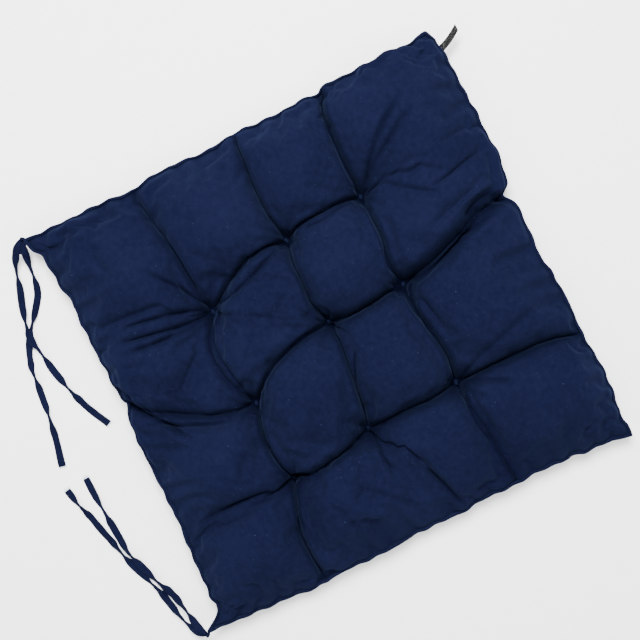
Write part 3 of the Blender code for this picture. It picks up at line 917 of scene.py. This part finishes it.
def simulate(vertices, faces, top_index, under_index, held, spare):
    """Blow the two panels up between their seam and their tufts; returns the settled places."""
    mesh = bpy.data.meshes.new("cloth")
    mesh.from_pydata([tuple(v) for v in vertices], [], [tuple(int(k) for k in f) for f in faces])
    item = bpy.data.objects.new("cloth", mesh)
    scene.collection.objects.link(item)
    plane = add_blower_floor()
    hold = item.vertex_groups.new(name="hold")
    hold.add(held, 1.0, "REPLACE")
    tight = item.vertex_groups.new(name="tight")
    for i, j in np.ndindex(spare.shape):
        share = 1.0 - float(spare[i, j])
        tight.add([int(top_index[i, j])], share, "REPLACE")
        tight.add([int(under_index[i, j])], share, "REPLACE")
    cloth = item.modifiers.new("cloth", "CLOTH")
    settings = cloth.settings
    settings.quality = 6
    settings.mass = 0.2
    settings.air_damping = 1.0
    settings.tension_stiffness = 60.0
    settings.compression_stiffness = 20.0
    settings.shear_stiffness = 8.0
    settings.bending_stiffness = 0.015
    settings.use_pressure = True
    settings.uniform_pressure_force = PRESSURE
    settings.vertex_group_mass = "hold"
    settings.vertex_group_shrink = "tight"
    settings.shrink_min = -GROWTH_PILLOW
    settings.shrink_max = -GROWTH_CREASE
    settings.effector_weights.gravity = 0.0
    cloth.collision_settings.use_collision = True
    cloth.collision_settings.distance_min = 0.001
    cloth.collision_settings.use_self_collision = True
    cloth.collision_settings.self_distance_min = 0.0012
    cloth.collision_settings.self_friction = 5
    cloth.point_cache.frame_start = 1
    cloth.point_cache.frame_end = SIM_FRAMES
    scene.frame_start = 1
    scene.frame_end = SIM_FRAMES
    for frame_number in range(1, SIM_FRAMES + 1):
        scene.frame_set(frame_number)
    settled = item.evaluated_get(bpy.context.evaluated_depsgraph_get()).to_mesh()
    places = np.zeros(len(settled.vertices) * 3)
    settled.vertices.foreach_get("co", places)
    for made in (item, plane):
        bpy.data.objects.remove(made, do_unlink=True)
    scene.frame_set(1)
    return places.reshape(-1, 3)


# ---- from the simulated grid to the fine surface ----
FINE_EDGE = 78  # fine steps in a cell at the edge
FINE_INNER = 64
GATHER = 0.50  # how much closer the fine lines stand beside a crease than half way between


def fine_lines():
    """The fine surface's lines, as (cell, share), closer together beside the creases."""
    lines = []
    for cell, count in enumerate((FINE_EDGE, FINE_INNER, FINE_INNER, FINE_EDGE)):
        for k in range(count):
            even = k / count
            lines.append((cell, even - GATHER * math.sin(2 * math.pi * even) / (2 * math.pi)))
    return lines + [(3, 1.0)]


def blend_matrix(lines):
    """The weights that carry the simulation's grid lines to the fine ones, by Catmull-Rom."""
    starts = np.cumsum([0, EDGE_STEPS, INNER_STEPS, INNER_STEPS])
    counts = (EDGE_STEPS, INNER_STEPS, INNER_STEPS, EDGE_STEPS)
    size = int(starts[-1] + EDGE_STEPS + 1)
    weights = np.zeros((len(lines), size))
    for k, (cell, share) in enumerate(lines):
        at = starts[cell] + share * counts[cell]
        base = min(int(at), size - 2)
        t = at - base
        cubic = (
            (-t + 2 * t * t - t**3) / 2,
            (2 - 5 * t * t + 3 * t**3) / 2,
            (t + 4 * t * t - 3 * t**3) / 2,
            (t**3 - t * t) / 2,
        )
        for step, weight in zip((-1, 0, 1, 2), cubic):
            index = base + step
            if index < 0:
                weights[k, 0] += 2 * weight
                weights[k, 1] -= weight
            elif index >= size:
                weights[k, size - 1] += 2 * weight
                weights[k, size - 2] -= weight
            else:
                weights[k, index] += weight
    return weights


def refine(grid, weights):
    return np.einsum("ai,bj,ijk->abk", weights, weights, grid)


def groove(away, width):
    """A crease's section: 1 at its bottom, falling to 0, with a low lip beside it."""
    near = np.exp(-np.abs(away / width) ** 1.35)
    lip = np.exp(-(((np.abs(away) - 2.9 * width) / (1.3 * width)) ** 2))
    return near - 0.16 * lip


LINE_REACH = 0.030  # nothing that a crease does reaches further than this


def line_distance(points, line):
    """How far each plan point is from a line of points, its share along it, and its side."""
    low, high = np.min(line, axis=0) - LINE_REACH, np.max(line, axis=0) + LINE_REACH
    near = np.flatnonzero(((points > low) & (points < high)).all(axis=1))
    place = points[near]
    nearest = np.full(len(near), np.inf)
    along = np.zeros(len(near))
    off_line = np.zeros((len(near), 2))
    for k in range(len(line) - 1):
        a, way = line[k], line[k + 1] - line[k]
        t = np.clip(((place - a) @ way) / (way @ way), 0, 1)
        off = place - (a + t[:, None] * way)
        far = np.hypot(off[:, 0], off[:, 1])
        closer = far < nearest
        nearest[closer] = far[closer]
        along[closer] = (k + t[closer]) / (len(line) - 1)
        off_line[closer] = off[closer]
    best = np.full(len(points), np.inf)
    share = np.zeros(len(points))
    side = np.zeros((len(points), 2))
    best[near], share[near], side[near] = nearest, along, off_line
    return best, share, side


DRAW_IN = 0.32  # the share of its distance that cloth beside a crease is drawn in


def press_crease(points, line, depth, width, fade_start, fade_end, up=1.0):
    """Press a crease into a panel along a plan line, and draw the cloth in towards it."""
    away, share, side = line_distance(points[:, :2], line)
    near = away < 8 * width
    strength = np.clip(share / fade_start, 0, 1) * np.clip((1 - share) / fade_end, 0, 1)
    strength = strength * strength * (3 - 2 * strength)
    fall = groove(away, width) * strength
    points[near, 2] -= up * depth * fall[near]
    reach = 2.2 * width
    draw = np.exp(-((away / reach) ** 2)) * strength * DRAW_IN
    points[near, :2] -= side[near] * draw[near, None]


FOLD_GAIN = 2.4
WAVER = 0.0006
VALLEY_SHARE = 0.85  # how deep the soft valley round a crease is beside the crease itself
VALLEY_REACH = 0.0085
PANELS_APART = 0.0024  # the least distance between the two panels, by their tufts


def sink_valley(points, line, depth, fade_end):
    """The broad soft valley that a crease lies in."""
    away, share, _ = line_distance(points[:, :2], line)
    strength = np.clip(share / 0.04, 0, 1) * np.clip((1 - share) / fade_end, 0, 1)
    points[:, 2] -= depth * np.exp(-((away / VALLEY_REACH) ** 2)) * strength


def crease_line(first, second, count=24):
    """A crease's own line, which wavers a little about the border between its pillows."""
    wander = random.Random("crease %s %s" % (first, second))
    line = [np.asarray(border_place(first, second, k / count)) for k in range(count + 1)]
    for k in range(1, count):
        way = line[k + 1] - line[k]
        left = np.array([-way[1], way[0]]) / np.linalg.norm(way)
        line[k] = line[k] + left * wander.uniform(-WAVER, WAVER)
    return line


def fold_line(values, count=16):
    start, start_step, end, end_step, bows, _, _ = values
    a = knot_place(*start) + np.array(start_step) / 1000
    b = knot_place(*end) + np.array(end_step) / 1000
    return [bowed(a, b, bows, k / count) for k in range(count + 1)]


def press_creases(top, under):
    """All the creases and folds of the top, and the shallower creases of the underside."""
    flat = top.reshape(-1, 3)
    below = under.reshape(-1, 3)
    for (first, second), (_, depth, width) in CREASES.items():
        line = crease_line(first, second)
        depth *= 1 - FADED.get((first, second), 0.0)
        to_edge = max(map(abs, second)) == 2
        end = 0.02 if to_edge else 0.04
        sink_valley(flat, line, depth * VALLEY_SHARE / 1000, end)
        press_crease(flat, line, depth / 1000, width / 1000, 0.04, end)
        press_crease(below, line, depth * 0.3 / 1000, width * 1.3 / 1000, 0.1, 0.1, up=-1.0)
    for values in FOLDS:
        depth, width = values[5:]
        press_crease(flat, fold_line(values), depth * FOLD_GAIN / 1000, width / 1000, 0.12, 0.30)
    parted = under[..., 2] + PANELS_APART
    top[..., 2] = np.maximum(top[..., 2], parted)


CREASE_SHADE = 0.16  # how dark the painted shade is in a crease, for each millimetre of depth
FOLD_SHADE = 0.17  # and in a fold
CREASE_SHADE_WIDTH = 2.4  # how wide it is, in half widths of the crease
FOLD_SHADE_WIDTH = 1.3
DARKEST = 0.86
TUFT_SHADE = 0.82
TUFT_SHADE_REACH = 0.0105


def painted_shade(top):
    """How dark the paint is at each place of the top: along creases and folds and at the tufts."""
    points = top.reshape(-1, 3)
    unshaded = np.ones(len(points))
    marks = []
    for (first, second), (_, depth, width) in CREASES.items():
        depth *= 1 - FADED.get((first, second), 0.0)
        marks.append((crease_line(first, second), CREASE_SHADE * depth, CREASE_SHADE_WIDTH * width, 0.04))
    for values in FOLDS:
        depth, width = values[5:]
        marks.append((fold_line(values), FOLD_SHADE * depth, FOLD_SHADE_WIDTH * width, 0.30))
    for line, dark, reach, fade in marks:
        away, share, _ = line_distance(points[:, :2], line)
        strength = np.clip(share / 0.06, 0, 1) * np.clip((1 - share) / fade, 0, 1)
        spread = np.exp(-((away / (reach / 1000)) ** 2))
        unshaded *= 1 - min(dark, DARKEST) * spread * strength
    for tuft in TUFTS:
        off = points[:, :2] - knot_place(*tuft)
        away = np.hypot(off[:, 0], off[:, 1])
        unshaded *= 1 - TUFT_SHADE * np.exp(-((away / TUFT_SHADE_REACH) ** 2))
    return 1 - unshaded


DIMPLE_DEPTH = 0.0062
DIMPLE_UNDER = 0.0012
DIMPLE_REACH = 0.0110
PLEAT_HEIGHT = 0.0019
PLEAT_START = 0.006
PLEAT_REACH = 0.0200
PLEAT_COUNTS = (5, 8, 13)  # waves round a tuft, laid over each other
PHASE_END = 6.283  # a full turn, to three places


def press_dimples(top, under):
    """The pinch where each tuft draws the panels together, and the pleats that run out of it."""
    wander = random.Random(5)
    for panel, sign in ((top.reshape(-1, 3), 1.0), (under.reshape(-1, 3), -1.0)):
        depth = DIMPLE_DEPTH if sign > 0 else DIMPLE_UNDER
        for tuft in TUFTS:
            off = panel[:, :2] - knot_place(*tuft)
            away = np.hypot(off[:, 0], off[:, 1])
            angle = np.arctan2(off[:, 1], off[:, 0])
            panel[:, 2] -= sign * depth * np.exp(-((away / DIMPLE_REACH) ** 2))
            ripple = np.zeros(len(panel))
            for count in PLEAT_COUNTS:
                ripple += np.cos(count * angle + wander.uniform(0, PHASE_END)) / count**0.5
            ring = (away / PLEAT_START) ** 2 * np.exp(-((away / PLEAT_REACH) ** 2) * 2.2)
            ring = np.minimum(ring, 1.0)
            panel[:, 2] += sign * PLEAT_HEIGHT * ripple * ring


def rest_on_floor(points):
    """Nothing of the pad is under the floor."""
    points[..., 2] = np.maximum(points[..., 2], 0.0004)


def closed_shell(top, under):
    """The vertices and faces of the two panels joined along their shared outline."""
    size = top.shape[0]
    rim = rim_of(size)
    top_index = np.arange(size * size).reshape(size, size)
    under_index = top_index.copy()
    under_index[~rim] = size * size + np.arange(int((~rim).sum()))
    vertices = np.concatenate([top.reshape(-1, 3), under[~rim]])
    quads = []
    for index, flip in ((top_index, False), (under_index, True)):
        a, b = index[:-1, :-1].ravel(), index[1:, :-1].ravel()
        c, d = index[1:, 1:].ravel(), index[:-1, 1:].ravel()
        quads.append(np.stack([a, d, c, b] if flip else [a, b, c, d], axis=1))
    return vertices, np.concatenate(quads)


def add_pad(finish):
    """The pad's cover: two panels sewn together, blown up and creased."""
    lines = grid_lines()
    vertices, faces, top_index, under_index, held, spare = build_panels(lines)
    settled = simulate(vertices, faces, top_index, under_index, held, spare)
    weights = blend_matrix(fine_lines())
    top = refine(settled[top_index], weights)
    under = refine(settled[under_index], weights)
    press_dimples(top, under)
    press_creases(top, under)
    rest_on_floor(top)
    rest_on_floor(under)
    under[0], under[-1] = top[0], top[-1]
    under[:, 0], under[:, -1] = top[:, 0], top[:, -1]
    shell, quads = closed_shell(top, under)
    cover = new_mesh_object("pad_cover", shell, quads.tolist(), finish)
    shade = cover.data.attributes.new(SHADE_ATTRIBUTE, "FLOAT", "POINT")
    darkness = np.zeros(len(shell))
    darkness[: top.shape[0] ** 2] = painted_shade(top)
    shade.data.foreach_set("value", darkness)
    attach(cover, "pad")
    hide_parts("cover_top", "cover_bottom")
    return top, under


# ---- inside and around the pad ----
FILL_GAP = 0.0032  # between the fibre and the cloth
FILL_LEAST = 0.0030  # no fibre where the cover is thinner than this, as round the tufts
FILL_STEP = 6  # fine lines to each line of the filling


def lowest_near(field, reach):
    """Each place's lowest value within so many lines of it."""
    padded_field = np.pad(field, reach, mode="edge")
    low = field.copy()
    rows, columns = field.shape
    for di in range(2 * reach + 1):
        for dj in range(2 * reach + 1):
            low = np.minimum(low, padded_field[di : di + rows, dj : dj + columns])
    return low


def fibre_material():
    """Loose white polyester fibre."""
    made, tree, shader = new_material("fibre_fill", 0.95, Sheen_Weight=0.4, Specular_IOR_Level=0.1)
    place = object_point(tree, 1.0)
    strands = noise(tree, place, 500.0, 6.0, 0.75)
    colour = mix_colour(tree, ramp(tree, strands, 0.3, 0.7), (0.62, 0.62, 0.60), (0.85, 0.85, 0.83))
    link(tree, colour, shader.inputs["Base Color"])
    bump(tree, shader, strands, 0.0008, 0.8)
    return made


def add_filling(top, under):
    """The fibre inside the cover, a little clear of the cloth all round."""
    pick = np.arange(FILL_STEP + 3, top.shape[0] - FILL_STEP - 2, FILL_STEP)
    upper = top.copy()
    lower = under.copy()
    upper[..., 2] = lowest_near(top[..., 2], FILL_STEP) - FILL_GAP
    lower[..., 2] = -lowest_near(-under[..., 2], FILL_STEP) + FILL_GAP
    tight = upper[..., 2] - lower[..., 2] < FILL_LEAST
    middle = (upper[..., 2] + lower[..., 2]) / 2
    upper[..., 2] = np.where(tight, middle + FILL_LEAST / 2, upper[..., 2])
    lower[..., 2] = np.where(tight, middle - FILL_LEAST / 2, lower[..., 2])
    upper = upper[np.ix_(pick, pick)]
    lower = lower[np.ix_(pick, pick)]
    tight = tight[np.ix_(pick, pick)]
    lower[..., :2] = upper[..., :2]
    size = len(pick)
    index = np.arange(size * size).reshape(size, size)
    faces, edges = [], set()
    for i in range(size - 1):
        for j in range(size - 1):
            if tight[i : i + 2, j : j + 2].any():
                continue
            quad = (index[i, j], index[i + 1, j], index[i + 1, j + 1], index[i, j + 1])
            quad = tuple(int(k) for k in quad)
            faces.append(quad)
            faces.append(tuple(size * size + k for k in reversed(quad)))
            edges.update(zip(quad, quad[1:] + quad[:1]))
    for a, b in sorted(edges):
        if (b, a) not in edges:
            faces.append((b, a, size * size + a, size * size + b))
    vertices = np.concatenate([upper.reshape(-1, 3), lower.reshape(-1, 3)])
    used = sorted({k for face in faces for k in face})
    renumber = {old: new for new, old in enumerate(used)}
    faces = [tuple(renumber[k] for k in face) for face in faces]
    fibre = new_mesh_object("filling_fibre", vertices[used], faces, fibre_material())
    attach(fibre, "pad")
    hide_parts("filling")


def outline_ring(top):
    """The seam's line round the pad, as points, counterclockwise from the front left corner."""
    sides = [top[:, 0], top[-1, 1:], top[-2::-1, -1], top[0, -2:0:-1]]
    return [Vector(p) for p in np.concatenate(sides)]


def even_ring(points, step):
    """The closed line through the points, at even distances."""
    closed = points + [points[0]]
    lengths = [(q - p).length for p, q in zip(closed, closed[1:])]
    total = sum(lengths)
    count = round(total / step)
    even, walked, k = [], 0.0, 0
    for m in range(count):
        target = total * m / count
        while walked + lengths[k] < target:
            walked += lengths[k]
            k += 1
        even.append(closed[k].lerp(closed[k + 1], (target - walked) / lengths[k]))
    return even


SEAM_STEP = 0.0011
SEAM_OUT = 0.0013  # how far the turned edge stands out
SEAM_HALF = 0.0008
SEAM_SECTION = (  # outward in shares of SEAM_OUT, upward in shares of SEAM_HALF
    (-0.8, 0.9), (0.1, 1.0), (0.75, 0.55), (1.0, 0.0), (0.75, -0.55), (0.1, -1.0), (-0.8, -0.9),
)


def add_seam(top, finish):
    """The turned, sewn edge: a thin lip that puckers at its stitches."""
    ring = even_ring(outline_ring(top), SEAM_STEP)
    wander = random.Random(11)
    phases = [wander.uniform(0, PHASE_END) for _ in range(3)]
    vertices, faces = [], []
    count = len(ring)
    for k, place in enumerate(ring):
        tangent = (ring[(k + 2) % count] - ring[k - 2]).normalized()
        out = Vector((tangent.y, -tangent.x, 0)).normalized()
        up = Vector((0, 0, 1))
        along = k * SEAM_STEP
        pinch = 1 + 0.22 * math.sin(2 * math.pi * along / 0.0042 + phases[0])
        pinch += 0.14 * math.sin(2 * math.pi * along / 0.0137 + phases[1])
        reach = SEAM_OUT * (1 + 0.25 * math.sin(2 * math.pi * along / 0.031 + phases[2]))
        for across, height in SEAM_SECTION:
            spot = place + out * (across * reach) + up * (height * SEAM_HALF * pinch)
            vertices.append(spot)
    size = len(SEAM_SECTION)
    for k in range(count):
        after = (k + 1) % count
        for m in range(size):
            step = (m + 1) % size
            faces.append((k * size + m, k * size + step, after * size + step, after * size + m))
    seam = new_mesh_object("seam_edge", vertices, faces, finish)
    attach(seam, "pad")
    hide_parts("edge_seam")


# ---- thread ----


def tube_into(vertices, faces, line, radius, sides=6, taper=0.0):
    """Add a closed tube along a line of points to a mesh's lists."""
    start = len(vertices)
    size = len(line)
    for k, place in enumerate(line):
        tangent = (line[min(k + 1, size - 1)] - line[max(k - 1, 0)]).normalized()
        guide = Vector((0, 0, 1)) if abs(tangent.z) < 0.9 else Vector((1, 0, 0))
        side = tangent.cross(guide).normalized()
        up = side.cross(tangent)
        here = radius * (1 - taper * k / (size - 1))
        for m in range(sides):
            angle = 2 * math.pi * m / sides
            vertices.append(place + side * (here * math.cos(angle)) + up * (here * math.sin(angle)))
    for k in range(size - 1):
        for m in range(sides):
            step = (m + 1) % sides
            a, b = start + k * sides, start + (k + 1) * sides
            faces.append((a + m, a + step, b + step, b + m))
    faces.append(tuple(start + m for m in reversed(range(sides))))
    last = start + (size - 1) * sides
    faces.append(tuple(last + m for m in range(sides)))


THREAD_RADIUS = 0.00030
TUFT_STRANDS = 5
TUFT_LENGTH = 0.0052
STRAND_PITCH = 0.00052
BUNDLE_RADIUS = 0.0004  # from the middle of the bundle to each strand through the pad


def add_tuft(number, column, row, top, under, finish):
    """The stitches of one tuft: strands on both faces and the bundle through the pad."""
    wander = random.Random(100 + number)
    i, j = (FINE_EDGE + (index + 1) * FINE_INNER for index in (column, row))
    vertices, faces = [], []
    turn = wander.uniform(-0.5, 0.5)
    along = Vector((math.cos(turn), math.sin(turn), 0))
    across = Vector((-along.y, along.x, 0))
    for panel, sign in ((top, 1.0), (under, -1.0)):
        middle = Vector(panel[i, j])
        for k in range(TUFT_STRANDS):
            offset = (k - (TUFT_STRANDS - 1) / 2) * STRAND_PITCH + wander.uniform(-0.0001, 0.0001)
            half = TUFT_LENGTH / 2 * wander.uniform(0.82, 1.08)
            lean = wander.uniform(-0.12, 0.12)
            line = []
            for m in range(9):
                t = m / 8 * 2 - 1
                lift = sign * (0.00075 * (1 - t * t) - 0.0004 * t**4)
                spot = middle + along * (t * half) + across * (offset + t * half * lean)
                line.append(spot + Vector((0, 0, lift)))
            tube_into(vertices, faces, line, THREAD_RADIUS)
    low, high = Vector(under[i, j]), Vector(top[i, j])
    for k in range(3):
        angle = 2 * math.pi * k / 3
        off = along * (BUNDLE_RADIUS * math.cos(angle))
        off = off + across * (BUNDLE_RADIUS * math.sin(angle))
        line = [low.lerp(high, m / 4) + off for m in range(5)]
        tube_into(vertices, faces, line, THREAD_RADIUS)
    item = new_mesh_object("tuft_stitch_%d" % number, vertices, faces, finish)
    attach(item, "pad")
    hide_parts("tuft_%d" % number)


TACK_TURNS = 13
TACK_SIDES = 14  # steps in each turn
CORE_MARGIN = 0.0004  # the core of a tack ends this far inside its ends


def add_tack(name, finish):
    """A corner's bar tack: thread wound round the roots of the two ties."""
    low, high = (Vector(side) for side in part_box(name))
    middle = (low + high) / 2
    radius = (high.x - low.x) / 2 - THREAD_RADIUS
    steps = TACK_TURNS * TACK_SIDES
    line = []
    for k in range(steps + 1):
        angle = 2 * math.pi * k / TACK_SIDES
        height = low.z + THREAD_RADIUS + (high.z - low.z - 2 * THREAD_RADIUS) * k / steps
        wobble = radius * (1 + 0.08 * math.sin(angle * 0.37))
        x = middle.x + wobble * math.cos(angle)
        y = middle.y + wobble * math.sin(angle)
        line.append(Vector((x, y, height)))
    vertices, faces = [], []
    tube_into(vertices, faces, line, THREAD_RADIUS)
    core_height = high.z - low.z - 2 * CORE_MARGIN
    heights = [low.z + CORE_MARGIN + core_height * k / 4 for k in range(5)]
    core = [Vector((middle.x, middle.y, height)) for height in heights]
    tube_into(vertices, faces, core, radius * 0.95, sides=10)
    item = new_mesh_object(name + "_stitch", vertices, faces, finish)
    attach(item, "pad")
    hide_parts(name)


FOLD_REACH = 0.0185  # how far from the tack the two halves of a tie's tape part
FOLD_NOTCH = 0.0030  # how much less it is in the middle between them
FOLD_THICKNESS = 0.0013
FOLD_MARGIN = 0.0029  # past the middle of each half
FOLD_ROWS = 10
FOLD_COLUMNS = 8


def add_tie_fold(side, finish):
    """The middle of one tape, folded in the corner, from which its two halves part as ties."""
    corner_tack = box_centre("tack_" + side)
    halves = []
    for half in ("outer", "inner"):
        points = tie_points("tie_%s_%s" % (side, half))
        root = Vector((corner_tack.x, corner_tack.y, points[0][2]))
        halves.append([root] + smooth_route(points, 0.0005))
    ring_top, ring_under = [], []
    for row in range(FOLD_ROWS + 1):
        for column in range(FOLD_COLUMNS + 1):
            across = 2 * column / FOLD_COLUMNS - 1
            reach = FOLD_REACH - FOLD_NOTCH * (1 - across * across)
            along = reach * row / FOLD_ROWS
            places = []
            for line in halves:
                left = along
                k = 0
                while k < len(line) - 2 and left > (line[k + 1] - line[k]).length:
                    left -= (line[k + 1] - line[k]).length
                    k += 1
                places.append(line[k] + (line[k + 1] - line[k]).normalized() * left)
            middle = places[0].lerp(places[1], 0.5 + 0.5 * across)
            apart = halves[1][20] - halves[0][20]
            apart.z = 0.0
            margin = FOLD_MARGIN * (1 - 0.35 * row / FOLD_ROWS) * (0.55 + 0.45 * smooth_step(row / 2))
            middle = middle + apart.normalized() * (margin * across)
            puff = FOLD_THICKNESS / 2 * (1 - 0.55 * across**4)
            ring_top.append(middle + Vector((0, 0, puff)))
            ring_under.append(middle - Vector((0, 0, puff)))
    count = len(ring_top)
    wide = FOLD_COLUMNS + 1
    faces = []
    for row in range(FOLD_ROWS):
        for column in range(FOLD_COLUMNS):
            a = row * wide + column
            faces.append((a, a + 1, a + 1 + wide, a + wide))
            faces.append((count + a, count + a + wide, count + a + 1 + wide, count + a + 1))
    loop = list(range(wide))
    loop += [row * wide + FOLD_COLUMNS for row in range(1, FOLD_ROWS + 1)]
    loop += [FOLD_ROWS * wide + column for column in range(FOLD_COLUMNS - 1, -1, -1)]
    loop += [row * wide for row in range(FOLD_ROWS - 1, 0, -1)]
    for a, b in zip(loop, loop[1:] + loop[:1]):
        faces.append((b, a, count + a, count + b))
    item = new_mesh_object("tie_fold_" + side, ring_top + ring_under, faces, finish)
    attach(item, side + "_ties")


FRAY_COUNT = 15
FRAY_ROOT = 0.0008  # how far inside the tape a loose thread starts
FRAY_RADIUS = 0.00013


def add_frayed_end(name, frames, finish):
    """The loose pale threads at a tie's cut end."""
    wander = random.Random("fray " + name)
    middle, wide, thin, half, thick = frames[-1]
    tangent = (middle - frames[-4][0]).normalized()
    vertices, faces = [], []
    for k in range(FRAY_COUNT):
        across = (k / (FRAY_COUNT - 1) * 2 - 1) * 0.92
        start = middle + wide * (half * across) + thin * (thick * wander.uniform(-0.5, 0.5))
        length = wander.uniform(0.0012, 0.0034)
        swerve = wander.uniform(-0.5, 0.5)
        line = []
        for m in range(6):
            t = m / 5
            spot = start - tangent * FRAY_ROOT + tangent * ((length + FRAY_ROOT) * t)
            spot += wide * (swerve * length * t * t)
            spot.z = max(spot.z - 0.0006 * t, 0.00035)
            line.append(spot)
        tube_into(vertices, faces, line, FRAY_RADIUS, sides=5, taper=0.5)
    item = new_mesh_object(name + "_fray", vertices, faces, finish)
    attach(item, tie_body(name))
    return item


# ---- the label ----
LABEL_WIDTH = 0.0064
LABEL_TAPE = 0.0003
LABEL_LEAN = math.radians(25)
LABEL_BOW = 0.0016  # how far it curves to the side by its fold
LABEL_STEPS = 30  # along each layer
LABEL_COLUMNS = 8


def add_label():
    """A woven tape folded in half; its fold is at the free end."""
    low, high = (Vector(side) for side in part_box("label"))
    length = high.y - low.y
    root = Vector((low.x + LABEL_WIDTH / 2, high.y, (low.z + high.z) / 2))
    half_gap = (high.z - low.z) / 2 - LABEL_TAPE
    count, across_count = LABEL_STEPS, LABEL_COLUMNS
    loop = [(t / count, 1) for t in range(count + 1)]
    loop += [(1.0, 0)]
    loop += [(t / count, -1) for t in range(count, -1, -1)]

    def place(share, side, across, outer):
        out = share * length
        sideways = out * math.tan(LABEL_LEAN) - LABEL_BOW * math.sin(math.pi * share)
        lift = side * (half_gap + outer * LABEL_TAPE) * (1 - 0.25 * share)
        lift += 0.0005 * math.sin(2.6 * share)
        reach = out + (0.0003 * outer if side == 0 else 0.0)
        return root + Vector((sideways + across * LABEL_WIDTH / 2, -reach, lift))

    vertices, faces = [], []
    for share, side in loop:
        for outer in (0, 1):
            for k in range(across_count + 1):
                across = k / across_count * 2 - 1
                vertices.append(place(share, side, across, outer))
    row = 2 * (across_count + 1)
    for n in range(len(loop) - 1):
        a, b = n * row, (n + 1) * row
        for k in range(across_count):
            faces.append((a + k, a + k + 1, b + k + 1, b + k))
            c, d = a + across_count + 1, b + across_count + 1
            faces.append((c + k + 1, c + k, d + k, d + k + 1))
        for k, flip in ((0, True), (across_count, False)):
            quad = (a + k, a + k + across_count + 1, b + k + across_count + 1, b + k)
            faces.append(tuple(reversed(quad)) if flip else quad)
    for base, flip in ((0, False), ((len(loop) - 1) * row, True)):
        for k in range(across_count):
            quad = (base + k, base + k + across_count + 1, base + k + across_count + 2, base + k + 1)
            faces.append(tuple(reversed(quad)) if flip else quad)
    item = new_mesh_object("label_tape", vertices, faces, label_material())
    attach(item, "label_tab")
    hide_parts("label")


add_camera()
add_floor()
add_lights()
tape_cloth = cloth_material("navy_tape_cloth", NAVY, NAVY_DEEP, NAVY_BRUSHED)
pale_thread = thread_material("pale_thread", (0.20, 0.25, 0.38), (0.55, 0.60, 0.70))
for tie_name in TIE_ROUTES:
    add_tie(tie_name, tape_cloth, pale_thread)
pad_cloth = cloth_material("navy_cloth", NAVY, NAVY_DEEP, NAVY_BRUSHED)
seam_cloth = cloth_material("navy_seam_cloth", NAVY, NAVY_DEEP, NAVY_BRUSHED, sheen=0.06)
blue_thread = thread_material("blue_thread", NAVY_DEEP, (0.006, 0.009, 0.026), sheen=0.0)
pad_top, pad_under = add_pad(pad_cloth)
add_filling(pad_top, pad_under)
add_seam(pad_top, seam_cloth)
for tuft_number in range(1, 10):
    tuft_row, tuft_column = 1 - (tuft_number - 1) // 3, 1 - (tuft_number - 1) % 3
    add_tuft(tuft_number, tuft_column, tuft_row, pad_top, pad_under, blue_thread)
add_tack("tack_right", blue_thread)
add_tack("tack_left", blue_thread)
add_tie_fold("right", tape_cloth)
add_tie_fold("left", tape_cloth)
add_label()
